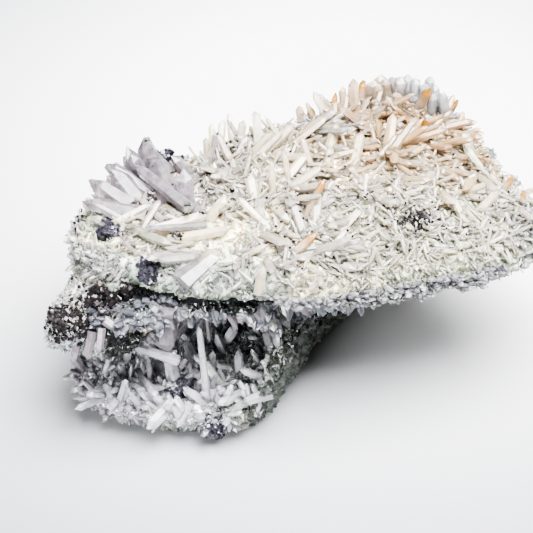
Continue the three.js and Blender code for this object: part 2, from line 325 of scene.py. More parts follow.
def surface(mesh: bpy.types.Mesh, plan: Plan) -> tuple[Array, Array]:
    """Gives a mesh's vertices in plan millimetres, and the outward directions there."""
    places, outward = np.empty((2, len(mesh.vertices) * 3))
    mesh.vertices.foreach_get("co", places)
    mesh.vertices.foreach_get("normal", outward)
    return plan.from_metres(places.reshape(-1, 3)), outward.reshape(-1, 3)


def paint(mesh: bpy.types.Mesh, tints: Array) -> None:
    """Gives each vertex its tint: linear red, green, blue and clearness, which is 0 if left out."""
    left_out = np.zeros((len(tints), 4 - tints.shape[1]))
    tint = mesh.attributes.new("tint", "FLOAT_COLOR", "POINT")
    tint.data.foreach_set("color", np.hstack([tints, left_out]).astype(np.float32).ravel())


@dataclass
class Skin:
    """The faces of a mesh as places where crystals can grow, in plan millimetres."""

    middles: Array
    outward: Array
    areas: Array
    corners: Array

    @staticmethod
    def of(piece: bpy.types.Object, plan: Plan) -> "Skin":
        """Reads the skin of an object whose faces are small."""
        mesh = piece.data
        mesh.calc_loop_triangles()
        triangles = np.empty(len(mesh.loop_triangles) * 3, dtype=np.int32)
        mesh.loop_triangles.foreach_get("vertices", triangles)
        corners = surface(mesh, plan)[0][triangles].reshape(-1, 3, 3)
        cross = np.cross(corners[:, 1] - corners[:, 0], corners[:, 2] - corners[:, 0])
        return Skin(corners.mean(axis=1), unit(cross), np.linalg.norm(cross, axis=1) / 2, corners)

    def outer(self, rock: bpy.types.Object, plan: Plan, gap: float) -> "Skin":
        """Keeps the faces of a crust that stand clear of the rock.

        Args:
            rock: The rock below it.
            plan: The plan's place in the frame.
            gap: Least height above the rock, in millimetres.

        Returns:
            The skin on which crystals can grow.
        """
        tree = tree_of(rock)
        keep = np.zeros(len(self.areas), dtype=bool)
        for number, spot in enumerate(plan.to_frame(self.middles)):
            near, normal, _, _ = tree.find_nearest(Vector(spot))
            keep[number] = (Vector(spot) - near).dot(normal) > gap * MM
        return Skin(*(part[keep] for part in vars(self).values()))

    def calmed(self, cell: float = 4.0) -> "Skin":
        """Gives the same skin with outward directions that pass over its small lumps.

        Args:
            cell: Size of the cells over which directions are averaged, in millimetres.

        Returns:
            The skin with smooth outward directions.
        """
        low = self.middles.min(axis=0) - 2 * cell
        cells = np.floor((self.middles - low) / cell).astype(int)
        total = np.zeros((*(cells.max(axis=0) + 3), 3))
        np.add.at(total, tuple(cells.T), self.outward * self.areas[:, None])
        for axis in range(3):
            total = total + np.roll(total, 1, axis) + np.roll(total, -1, axis)
        return replace(self, outward=unit(total[tuple(cells.T)]))

    def scatter(self, rng: np.random.Generator, density: Array) -> tuple[Array, Array]:
        """Picks random places on the skin.

        Args:
            rng: The source of random numbers.
            density: Places per square millimetre, one number for each face.

        Returns:
            The places and the outward directions there.
        """
        expected = density * self.areas
        count = int(expected.sum())
        chosen = rng.choice(len(expected), size=count, p=expected / expected.sum())
        weights = rng.dirichlet((1, 1, 1), size=count)
        return (self.corners[chosen] * weights[:, :, None]).sum(axis=1), self.outward[chosen]


# ---------------------------------------------------------------------------------------------
# Regions of the specimen
# ---------------------------------------------------------------------------------------------


def in_hollow(spots: Array, outward: Array) -> Array:
    """Tells which places of the rock's skin face into the hollow."""
    x, y, z = spots.T
    towards = ((np.array(HOLLOW_MIDDLE) - spots) * outward).sum(axis=1)
    inside = (x > -63) & (x < 8) & (y > -5) & (y < 54) & (z > 6.5) & (z < 43)
    roof = (z > 30) & (y < 16.5) & (x > -36)  # the front of the plate's rim
    return inside & (towards > 0) & ~roof


def on_plate(spots: Array, outward: Array) -> Array:
    """Tells which places of the rock's skin are the plate's top or the upper part of its rim."""
    x, y, z = spots.T
    block = (x < -36) & (y < 30) & (z < 40.5)  # the shoulder
    rim = RIM_HEIGHT - 2.5 * smoothstep(x, 10, 24) * (1 - smoothstep(y, 40, 60))
    rim = rim + 2.3 * smoothstep(x, -46, -40) * (1 - smoothstep(x, 3, 14)) * (y < 40)
    return (z > rim) & (outward[:, 2] > -0.6) & ~block & ~in_hollow(spots, outward)


def under_slot(spots: Array, outward: Array) -> Array:
    """Tells which places of the rock's skin lie right below the slot under the plate's edge."""
    x, y, z = spots.T
    return (x > -46) & (x < 28) & (y < 30) & (z > 31.5) & (z < 36.8) & (outward[:, 1] < 0.3)


def in_slot(spots: Array) -> Array:
    """Gives 1 in the dark slot below the plate's front edge, falling to 0 around."""
    x, y, z = spots.T
    wide = smoothstep(x, -23, -18) * (1 - smoothstep(x, -5, -1))
    floor = 38.4 - 2.2 * wide
    inside = smoothstep(z - floor, -0.4, 0.4) * (1 - smoothstep(z, 42, 43))
    return inside * smoothstep(x, -42, -37) * (x < 2) * (y > 13) * (y < 34)


def on_ledge(spots: Array, outward: Array) -> Array:
    """Tells which places of the rock's skin are the top of the ledge that bounds the slot below."""
    x, y, z = spots.T
    top = (x > -50) & (x < 4) & (y < 21) & (z > 35) & (z < 39.8) & (outward[:, 2] > 0.3)
    return top & ~((x > -20) & (x < -3))


def shoulder(spots: Array) -> Array:
    """Gives 1 on the block of rock that hangs out at the left, falling to 0 around."""
    x, y, z = spots.T
    return (1 - smoothstep(x, -46, -42)) * (1 - smoothstep(y, 28, 34)) * smoothstep(z, 24, 30)


def cavity(spots: Array) -> Array:
    """Gives 1 where the ledge's front falls back into the hollow at its left, falling to 0 around."""
    x, y, z = spots.T
    wide = smoothstep(x, -47, -44) * (1 - smoothstep(x, -35, -32))
    return wide * smoothstep(z, 27, 30) * (1 - smoothstep(z, 36.2, 37.4)) * (y < 16)


def foot_front(spots: Array, outward: Array) -> Array:
    """Tells which places of the rock's skin are the foot's front and sides, below the hollow."""
    x, y, z = spots.T
    return (x < -8) & (y < 18) & (z > 1.2) & (z < 14) & (outward[:, 2] > -0.3)


def lip(spots: Array) -> Array:
    """Gives 1 on the bare lip along the plate's front edge above the hollow, falling to 0 around."""
    x, y, _ = spots.T
    edge = 17 + 0.006 * np.maximum(-15 - x, 0) ** 2
    return (1 - smoothstep(y - edge, 3, 10)) * (1 - smoothstep(x, 2, 14))


def finer(spots: Array) -> Array:
    """Gives 1 where the plate's needles are finer, at its front right, falling to 0 around."""
    x, y = spots[:, 0], spots[:, 1]
    return smoothstep(x + 0.3 * y, 18, 38) * (1 - smoothstep(y, 44, 64))


def right_wall(spots: Array, top: float) -> Array:
    """Gives 1 on the foot's right wall, falling to 0 around, and above from the height top on."""
    x, y, z = spots.T
    return smoothstep(x, -12, -2) * (1 - smoothstep(z, top, 36)) * (1 - smoothstep(y, 45, 65))


def above_plate(spots: Array, plan: Plan, rock_tree: BVHTree) -> Array:
    """Tells which places have the plate straight below them.

    Args:
        spots: Places in plan millimetres.
        plan: The plan's place in the frame.
        rock_tree: The frame's rock.

    Returns:
        True or false for each place.
    """
    high = np.column_stack([spots[:, :2], np.full(len(spots), ABOVE_ALL)])
    hits = (rock_tree.ray_cast(Vector(start), DOWN)[0] for start in plan.to_frame(high))
    return np.array([hit is not None and hit.z > PLATE_BOTTOM * MM for hit in hits])


def inland(spots: Array, plan: Plan, rock_tree: BVHTree, reach: float = 5.0) -> Array:
    """Tells how far inside the plate's rim places are.

    Args:
        spots: Places in plan millimetres.
        plan: The plan's place in the frame.
        rock_tree: The frame's rock.
        reach: How far to look for the rim, in millimetres.

    Returns:
        The share of eight directions in which the plate goes on that far, for each place.
    """
    ways = directions(np.arange(8) * 45.0, np.full(8, 90.0)) * reach
    return sum(above_plate(spots + way, plan, rock_tree) for way in ways) / 8


# ---------------------------------------------------------------------------------------------
# Finishes
# ---------------------------------------------------------------------------------------------


def node(
    tree: bpy.types.NodeTree, kind: str, links: dict[Any, Any], **settings: Any
) -> bpy.types.Node:
    """Adds a node with its settings and links.

    Args:
        tree: The node tree.
        kind: The node's type name.
        links: Input names or numbers, each with the output linked to it or the value set on it.
        **settings: Properties of the node.

    Returns:
        The new node.
    """
    made = tree.nodes.new(kind)
    for name, value in settings.items():
        setattr(made, name, value)
    for name, value in links.items():
        if isinstance(value, bpy.types.NodeSocket):
            tree.links.new(value, made.inputs[name])
        else:
            made.inputs[name].default_value = value
    return made


QUARTZ_IOR = 1.544
MULTIPLY = {"data_type": "RGBA", "blend_type": "MULTIPLY"}  # settings of a node that mixes colours


@dataclass(frozen=True)
class Finish:
    """How a material looks, with values set on its shader."""

    name: str
    slot: str

    def material(self) -> bpy.types.Material:
        """Gives the finish's material, made at its first use."""
        known = bpy.data.materials.get(self.name)
        if known:
            return known
        made = bpy.data.materials.new(self.name)
        made.use_nodes = True
        tree = made.node_tree
        tree.nodes.clear()
        shader = self.shader(tree)
        node(tree, "ShaderNodeOutputMaterial", {"Surface": shader.outputs["BSDF"]})
        return made

    def shader(self, tree: bpy.types.NodeTree) -> bpy.types.Node:
        """Adds the finish's shader and the nodes that drive it, and gives the shader."""
        raise NotImplementedError


@dataclass(frozen=True)
class Quartz(Finish):
    """Rock crystal, grown: glassy faces with fine cross lines, milky at the root, clearer above.

    Its clearness is the tint's fourth value, from 0 for milky to 1 for clear.
    """

    milky_clearness: float = 0.5
    clear_clearness: float = 0.95
    roughness: float = 0.26
    glow: float = 0.9  # share of the light that scatters under the skin
    depth: float = 2.5  # how far it goes there, in millimetres

    def shader(self, tree: bpy.types.NodeTree) -> bpy.types.Node:
        """Adds the finish's shader and the nodes that drive it, and gives the shader."""
        tint = node(tree, "ShaderNodeAttribute", {}, attribute_name="tint")
        grain = node(tree, "ShaderNodeAttribute", {}, attribute_name="grain").outputs["Vector"]
        # Growth lines: streaks along the crystal about 0.4 mm apart and many times as long.
        drawn = node(tree, "ShaderNodeMapping", {"Vector": grain, "Scale": (1.0, 1.0, 0.07)})
        fine = {"Vector": drawn.outputs["Vector"], "Scale": 2.4, "Detail": 3.0, "Roughness": 0.65}
        lines = node(tree, "ShaderNodeTexNoise", fine).outputs["Fac"]
        # Veils: cloudy patches about 2 mm across inside the crystals.
        broad = {"Vector": grain, "Scale": 0.5, "Detail": 4.0, "Roughness": 0.6}
        veils = node(tree, "ShaderNodeTexNoise", broad).outputs["Fac"]
        colour = tint.outputs["Color"]
        for source, low, high, dimmed in ((lines, 0.32, 0.6, 0.86), (veils, 0.35, 0.65, 0.88)):
            levels = {"Value": source, "From Min": low, "From Max": high, "To Min": dimmed}
            shade = node(tree, "ShaderNodeMapRange", levels).outputs["Result"]
            mixed = node(tree, "ShaderNodeMix", {0: 1.0, 6: colour, 7: shade}, **MULTIPLY)
            colour = mixed.outputs[2]
        levels = {"Value": veils, "From Min": 0.35, "From Max": 0.62, "To Min": 1.0, "To Max": 0.55}
        veiled = node(tree, "ShaderNodeMapRange", levels).outputs["Result"]
        shares = {0: tint.outputs["Alpha"], 1: veiled}
        clear = node(tree, "ShaderNodeMath", shares, operation="MULTIPLY").outputs["Value"]
        levels = {"Value": clear, "To Min": self.milky_clearness, "To Max": self.clear_clearness}
        relief = {"Height": lines, "Strength": 0.35, "Distance": 0.2 * MM}
        return node(
            tree,
            "ShaderNodeBsdfPrincipled",
            {
                "Base Color": colour,
                "Transmission Weight": node(tree, "ShaderNodeMapRange", levels).outputs["Result"],
                "IOR": QUARTZ_IOR,
                "Roughness": self.roughness,
                "Subsurface Weight": self.glow,
                "Subsurface Radius": (1.0, 1.0, 1.0),
                "Subsurface Scale": self.depth * MM,
                "Normal": node(tree, "ShaderNodeBump", relief).outputs["Normal"],
            },
        )


@dataclass(frozen=True)
class SugaryQuartz(Finish):
    """Fine drusy quartz, grown: a sugar of crystals too small to tell apart, dull to sparkling."""

    grain: float = 0.7  # of the sugar, in millimetres
    glow: float = 0.8  # share of the light that scatters under the skin
    depth: float = 2.5  # how far it goes there, in millimetres

    def shader(self, tree: bpy.types.NodeTree) -> bpy.types.Node:
        """Adds the finish's shader and the nodes that drive it, and gives the shader."""
        tint = node(tree, "ShaderNodeAttribute", {}, attribute_name="tint").outputs["Color"]
        spot = node(tree, "ShaderNodeTexCoord", {}).outputs["Object"]
        sugar = {"Vector": spot, "Scale": 1 / (self.grain * MM)}
        off = node(tree, "ShaderNodeTexVoronoi", sugar).outputs["Distance"]
        levels = {"Value": off, "From Max": 0.9, "To Min": 0.98, "To Max": 0.78}
        shade = node(tree, "ShaderNodeMapRange", levels).outputs["Result"]
        colour = node(tree, "ShaderNodeMix", {0: 1.0, 6: tint, 7: shade}, **MULTIPLY)
        relief = {"Height": off, "Strength": 0.6, "Distance": 0.25 * MM}
        return node(
            tree,
            "ShaderNodeBsdfPrincipled",
            {
                "Base Color": colour.outputs[2],
                "Roughness": 0.42,
                "IOR": QUARTZ_IOR,
                "Subsurface Weight": self.glow,
                "Subsurface Radius": (1.0, 1.0, 1.0),
                "Subsurface Scale": self.depth * MM,
                "Normal": node(tree, "ShaderNodeBump", relief, invert=True).outputs["Normal"],
            },
        )


@dataclass(frozen=True)
class BrokenRock(Finish):
    """Altered host rock, broken: dull and earthy, with chlorite dust in its grain."""

    grain: float = 1.3  # of the rock, in millimetres

    def shader(self, tree: bpy.types.NodeTree) -> bpy.types.Node:
        """Adds the finish's shader and the nodes that drive it, and gives the shader."""
        tint = node(tree, "ShaderNodeAttribute", {}, attribute_name="tint").outputs["Color"]
        spot = node(tree, "ShaderNodeTexCoord", {}).outputs["Object"]
        earth = {"Vector": spot, "Scale": 1 / (self.grain * MM), "Detail": 5.0, "Roughness": 0.7}
        grain = node(tree, "ShaderNodeTexNoise", earth).outputs["Fac"]
        levels = {"Value": grain, "From Min": 0.3, "From Max": 0.7, "To Min": 0.45, "To Max": 1.35}
        shade = node(tree, "ShaderNodeMapRange", levels).outputs["Result"]
        colour = node(tree, "ShaderNodeMix", {0: 1.0, 6: tint, 7: shade}, **MULTIPLY)
        relief = {"Height": grain, "Strength": 0.8, "Distance": 0.5 * MM}
        return node(
            tree,
            "ShaderNodeBsdfPrincipled",
            {
                "Base Color": colour.outputs[2],
                "Roughness": 0.8,
                "Specular IOR Level": 0.2,
                "Normal": node(tree, "ShaderNodeBump", relief).outputs["Normal"],
            },
        )


@dataclass(frozen=True)
class OreFinish(Finish):
    """A dark ore mineral, grown: galena is a blue-grey metal, sphalerite a resinous brown-black."""

    colour: str
    patches: str
    metallic: float
    roughness: float
    edges: tuple[float, float]  # least and greatest edge of its small crystals, in millimetres

    def shader(self, tree: bpy.types.NodeTree) -> bpy.types.Node:
        """Adds the finish's shader and the nodes that drive it, and gives the shader."""
        spot = node(tree, "ShaderNodeTexCoord", {}).outputs["Object"]
        # Tarnish in patches about 1 mm across, which tells one crystal from the next.
        patchy = {"Vector": spot, "Scale": 1 / MM, "Detail": 3.0}
        tarnish = node(tree, "ShaderNodeTexNoise", patchy).outputs["Fac"]
        levels = {"Value": tarnish, "From Min": 0.4, "From Max": 0.62}
        share = node(tree, "ShaderNodeMapRange", levels).outputs["Result"]
        tints = {0: share, 6: (*linear(self.colour), 1), 7: (*linear(self.patches), 1)}
        colour = node(tree, "ShaderNodeMix", tints, data_type="RGBA")
        dull = {
            "Value": tarnish,
            "From Min": 0.3,
            "From Max": 0.7,
            "To Min": self.roughness * 0.7,
            "To Max": self.roughness * 1.5,
        }
        return node(
            tree,
            "ShaderNodeBsdfPrincipled",
            {
                "Base Color": colour.outputs[2],
                "Metallic": self.metallic,
                "Roughness": node(tree, "ShaderNodeMapRange", dull).outputs["Result"],
            },
        )


@dataclass(frozen=True)
class Paper(Finish):
    """Studio paper, matt, with a painted pool of light: paler in the middle, greyer farther out."""

    middle: tuple[float, float] = (0.016, 0.113)  # of the pale part, in the frame's metres
    pale: str = "#BBBBBD"
    grey: str = "#737579"
    reach: tuple[float, float] = (0.07, 0.24)  # metres from the middle

    def shader(self, tree: bpy.types.NodeTree) -> bpy.types.Node:
        """Adds the finish's shader and the nodes that drive it, and gives the shader."""
        spot = node(tree, "ShaderNodeTexCoord", {}).outputs["Object"]
        ends = {0: spot, 1: (*self.middle, 0.0)}
        off = node(tree, "ShaderNodeVectorMath", ends, operation="DISTANCE").outputs["Value"]
        levels = {"Value": off, "From Min": self.reach[0], "From Max": self.reach[1]}
        share = node(tree, "ShaderNodeMapRange", levels).outputs["Result"]
        # Painted light: the colour runs from pale at the middle to grey farther out, standing in for a
        # pool of light.
        tints = {0: share, 6: (*linear(self.pale), 1), 7: (*linear(self.grey), 1)}
        colour = node(tree, "ShaderNodeMix", tints, data_type="RGBA").outputs[2]
        matt = {"Base Color": colour, "Roughness": 0.9, "Specular IOR Level": 0.1}
        return node(tree, "ShaderNodeBsdfPrincipled", matt)


QUARTZ = Quartz("quartz_grown", "quartz")
SUGAR = SugaryQuartz("quartz_sugar", "quartz")
ROCK = BrokenRock("host_rock_broken", "host_rock")
GALENA = OreFinish("galena_cubes", "galena", "#62616A", "#2C2C32", 0.7, 0.3, (0.35, 1.15))
SPHALERITE = OreFinish(
    "sphalerite_grains", "sphalerite", "#2A2526", "#0F0D0F", 0.0, 0.22, (0.35, 1.25)
)
PAPER = Paper("studio_paper", "")


# ---------------------------------------------------------------------------------------------
# Tints of quartz
# ---------------------------------------------------------------------------------------------


class Tint(Enum):
    """Colours of the specimen's quartz and rock, some also used as painted shade, as sRGB."""

    CREAM = "#E9D9B8"
    MILK = "#E8E0CE"
    GREY_LILAC = "#ADA6AC"
    COOL_GREY = "#AFB3BD"
    PALE_LILAC = "#E0E0E5"
    SHADOW_GREY = "#A9ABB6"
    PEACH = "#C1986C"
    AMBER = "#CE9A48"
    PALE_GREEN = "#A4B19E"
    CHLORITE = "#6C7C69"
    # Dark chlorite of the rock's veins, also used as painted shade at the bottom, on the right wall and
    # in the slot.
    DARK_CHLORITE_AND_SHADE = "#343D37"
    # Near black: the hollow's dark rock, also used as painted shade at its back, in the slot and in the
    # cavity.
    SLATE_AND_SHADE = "#16181B"
    GREY_ROCK = "#9A9C9A"

    @property
    def rgb(self) -> Array:
        """The colour as linear red, green and blue."""
        return np.array(linear(self.value))


@dataclass(frozen=True)
class Zone:
    """A part of the plan where quartz takes another tint, strongest at its middle."""

    middle: tuple[float, float]
    reach: tuple[float, float]
    root: Tint
    tip: Tint
    share: float  # of the crystals that take it
    clearness: float

    def strength(self, spots: Array) -> Array:
        """Gives how strong the zone is at each place, from 0 to 1."""
        off = (spots[:, :2] - np.array(self.middle)) / np.array(self.reach)
        return np.exp(-(off**2).sum(axis=1))


PLATE_ZONES = (
    Zone((38, 92), (30, 26), Tint.PEACH, Tint.PEACH, 1.0, 0.4),
    Zone((32, 102), (24, 10), Tint.PEACH, Tint.AMBER, 0.08, 0.45),
    Zone((54, 104), (7, 6), Tint.PEACH, Tint.AMBER, 0.25, 0.5),
    Zone((72, 66), (8, 7), Tint.PEACH, Tint.AMBER, 0.2, 0.4),
    Zone((-30, 58), (17, 20), Tint.GREY_LILAC, Tint.GREY_LILAC, 0.85, 0.75),
    Zone((-24, 22), (34, 9), Tint.PALE_GREEN, Tint.GREY_LILAC, 0.85, 0.5),
    Zone((6, 92), (18, 8), Tint.PALE_GREEN, Tint.COOL_GREY, 0.8, 0.4),
    Zone((48, 116), (16, 6), Tint.COOL_GREY, Tint.COOL_GREY, 0.9, 0.5),
    Zone((50, 38), (32, 18), Tint.PALE_GREEN, Tint.MILK, 0.7, 0.35),
    Zone((82, 46), (8, 14), Tint.COOL_GREY, Tint.COOL_GREY, 0.9, 0.5),
    Zone((-52, 44), (10, 14), Tint.PALE_GREEN, Tint.MILK, 0.6, 0.4),
)
PEACH_ZONE = PLATE_ZONES[0]


def tinted(
    rng: np.random.Generator,
    spots: Array,
    zones: Iterable[Zone] = (),
    root: Tint = Tint.CREAM,
    tip: Tint = Tint.MILK,
    clearness: float = 0.25,
) -> tuple[Array, Array]:
    """Chooses tints for crystals from where they grow.

    Args:
        rng: The source of random numbers.
        spots: The crystals' places.
        zones: Zones with other tints.
        root: The usual tint of a crystal's root.
        tip: The usual tint of its tip.
        clearness: The usual clearness, 0 to 1.

    Returns:
        Tints of the roots and of the tips, with clearness as the fourth value.
    """
    count = len(spots)
    roots = np.tile([*root.rgb, clearness * 0.6], (count, 1))
    tips = np.tile([*tip.rgb, clearness], (count, 1))
    for zone in zones:
        share = (rng.random(count) < zone.share) * zone.strength(spots) ** 0.6
        share = share * rng.uniform(0.6, 1, count)
        blend(roots, np.array([*zone.root.rgb, zone.clearness * 0.6]), share)
        blend(tips, np.array([*zone.tip.rgb, zone.clearness]), share)
    lilac = smoothstep(noise_field(spots, 7.0, 61.0, 2), -0.1, 0.35) * (rng.random(count) < 0.7)
    lilac *= 1 - 0.7 * PEACH_ZONE.strength(spots)
    green = smoothstep(noise_field(spots, 6.0, 62.0, 2), 0.15, 0.5) * (rng.random(count) < 0.35)
    for values in (roots, tips):
        blend(values[:, :3], Tint.GREY_LILAC.rgb, 0.6 * lilac)
        blend(values[:, :3], Tint.PALE_GREEN.rgb, 0.6 * green)
    shade = rng.normal(1, 0.05, (count, 1))
    for values in (roots, tips):
        values[:, :3] *= shade
        values[:, 3:] += rng.normal(0, 0.08, (count, 1))
    return np.clip(roots, 0, 1), np.clip(tips, 0, 1)


# ---------------------------------------------------------------------------------------------
# Crystals
# ---------------------------------------------------------------------------------------------

SIDES = 6
BASE = np.array([[0, 5, 4, 3], [0, 3, 2, 1]])  # the faces that close a crystal below


@dataclass
class Crystals:
    """Quartz crystals as arrays, one row each, in plan millimetres."""

    spots: Array
    axes: Array
    lengths: Array
    widths: Array
    roots: Array  # tints
    tips: Array  # tints
    flatness: Optional[Array] = None
    turns: Optional[Array] = None
    sharpness: float = 0.4  # height of the point, in widths

    def __len__(self) -> int:
        """Gives the number of crystals."""
        return len(self.spots)

    def only(self, keep: Array) -> "Crystals":
        """Gives the crystals for which keep is true."""
        rows = {name: part[keep] for name, part in vars(self).items() if isinstance(part, Array)}
        return replace(self, **rows)

    def ends(self) -> Array:
        """Gives the places of their tips."""
        return self.spots + self.axes * self.lengths[:, None]

    def sides(self) -> tuple[Array, Array]:
        """Gives two directions across each crystal, square to its axis and to each other."""
        helper = np.where(np.abs(self.axes[:, 2:]) > 0.9, [[1.0, 0, 0]], [[0, 0, 1.0]])
        across = unit(np.cross(helper, self.axes))
        return across, np.cross(self.axes, across)

    def prisms(self, shape: Shape, rng: np.random.Generator, detailed: bool = True) -> None:
        """Adds the crystals as six-sided prisms with blunt or chisel-like points.

        Args:
            shape: The mesh that they are added to.
            rng: The source of random numbers.
            detailed: Whether the tint changes near the tip, which takes a ring more.
        """
        count = len(self)
        flatness = self.flatness if self.flatness is not None else rng.uniform(0.45, 0.9, count)
        turns = self.turns if self.turns is not None else rng.uniform(0, math.pi, count)
        across, over = self.sides()
        point = np.minimum(self.sharpness * self.widths, 0.4 * self.lengths)
        angles = turns[:, None] + np.arange(SIDES) * math.tau / SIDES
        radii = self.widths[:, None] / 2 * rng.uniform(0.86, 1.1, (count, SIDES))
        local = np.stack([np.cos(angles) * radii, np.sin(angles) * radii * flatness[:, None]], 2)
        out = local[:, :, :1] * across[:, None] + local[:, :, 1:] * over[:, None]
        lower = np.where(np.arange(SIDES) % 2, 0.45, 0.0) + rng.uniform(0, 0.18, (count, SIDES))
        shoulder = (self.lengths - point)[:, None] - point[:, None] * lower
        rings = [np.full((count, SIDES), -ROOT), shoulder]
        taper = rng.uniform(0.62, 0.97, (count, 1, 1))
        widths = [np.ones_like(taper), taper]
        if detailed:
            rings.insert(1, 0.55 * shoulder)
            widths.insert(1, 0.4 + 0.6 * taper)
        parts = [
            self.spots[:, None] + out * width + ring[:, :, None] * self.axes[:, None]
            for ring, width in zip(rings, widths)
        ]
        chisel = rng.uniform(0.1, 0.5, (count, 1)) * (rng.random((count, 1)) < 0.7)
        apex = self.ends()
        slide = (out[:, 1] + out[:, 2]) / 2 * chisel
        parts += [(apex + slide)[:, None], (apex - slide)[:, None]]
        vertices = np.concatenate(parts, axis=1)
        each = vertices.shape[1]
        grain = np.zeros((count, each, 3))
        for number, (width, ring) in enumerate(zip(widths, rings)):
            grain[:, number * SIDES : (number + 1) * SIDES, :2] = local * width
            grain[:, number * SIDES : (number + 1) * SIDES, 2] = ring
        grain[:, -2:, 2] = self.lengths[:, None]
        grain += (np.arange(count) * 7.3)[:, None, None]

        edge = np.arange(SIDES)
        following = (edge + 1) % SIDES
        quads = []
        for ring in range(len(rings) - 1):
            low, high = ring * SIDES, (ring + 1) * SIDES
            quads.append(np.stack([low + edge, low + following, high + following, high + edge], 1))
        quads.append(BASE)
        top = (len(rings) - 1) * SIDES
        near, far = each - 2, each - 1
        faces = [[top + i, top + i + 1, near] for i in range(3)]
        faces += [[top + i, top + (i + 1) % SIDES, far] for i in range(3, SIDES)]
        faces += [[top + 3, far, near], [top, near, far]]
        tints = np.repeat(self.roots[:, None], each, axis=1)
        tints[:, top:] = self.tips[:, None]
        shape.add(vertices, np.concatenate(quads), np.array(faces), tints, grain)

    def points(self, shape: Shape, rng: np.random.Generator) -> None:
        """Adds the crystals as small six-sided points, closed below."""
        count = len(self)
        across, over = self.sides()
        angles = rng.uniform(0, math.pi, (count, 1)) + np.arange(SIDES) * math.tau / SIDES
        radii = self.widths[:, None] / 2 * rng.uniform(0.8, 1.2, (count, SIDES))
        out = (
            (np.cos(angles) * radii)[:, :, None] * across[:, None]
            + (np.sin(angles) * radii)[:, :, None] * over[:, None]
        )
        ring = self.spots[:, None] + out
        aside = out[:, 0] * rng.uniform(-0.7, 0.7, (count, 1))
        aside = aside + out[:, 1] * rng.uniform(-0.5, 0.5, (count, 1))
        vertices = np.concatenate([ring, (self.ends() + aside)[:, None]], axis=1)
        faces = np.array([[i, (i + 1) % SIDES, SIDES] for i in range(SIDES)])
        tints = np.repeat(self.roots[:, None], SIDES + 1, axis=1)
        tints[:, SIDES] = self.tips
        shape.add(vertices, BASE, faces, tints, vertices)


def laid_over(outward: Array, headings: Array, leans: Array) -> Array:
    """Gives directions that lean over a skin towards given headings.

    Args:
        outward: The skin's outward directions.
        headings: Degrees in plan, 0 to the right and 90 to the back.
        leans: Degrees from the outward direction.

    Returns:
        One unit vector per row.
    """
    level = directions(headings, np.full(len(headings), 90.0))
    along = unit(level - (level * outward).sum(axis=1, keepdims=True) * outward)
    tilt = np.radians(leans)[:, None]
    return np.cos(tilt) * outward + np.sin(tilt) * along


def turned_from(outward: Array, rng: np.random.Generator, low: float, high: float) -> Array:
    """Gives directions that lean away from the outward ones by an angle between two bounds.

    Args:
        outward: Unit vectors.
        rng: The source of random numbers.
        low: Least lean in degrees.
        high: Greatest lean in degrees.

    Returns:
        One unit vector per row.
    """
    aside = unit(np.cross(outward, unit(rng.normal(size=outward.shape))))
    lean = np.radians(rng.uniform(low, high, (len(outward), 1)))
    return np.cos(lean) * outward + np.sin(lean) * aside


def apart_from(points: Array, large: Crystals, start: float, margins: Array) -> Array:
    """Tells which points lie clear of large crystals.

    Args:
        points: Places in plan millimetres.
        large: The large crystals.
        start: Share of a large crystal's length from which it is kept clear.
        margins: Width of the clear ground about each, in millimetres.

    Returns:
        True for each point that is clear of all of them.
    """
    free = np.ones(len(points), dtype=bool)
    rows = zip(large.spots, large.axes, large.lengths, large.widths, margins)
    for spot, axis, length, width, margin in rows:
        along = np.clip((points - spot) @ axis, start * length, length)
        gap = np.linalg.norm(points - (spot + along[:, None] * axis), axis=1)
        free &= gap > 0.5 * width + margin
    return free


# ---------------------------------------------------------------------------------------------
# Sub-assemblies
# ---------------------------------------------------------------------------------------------


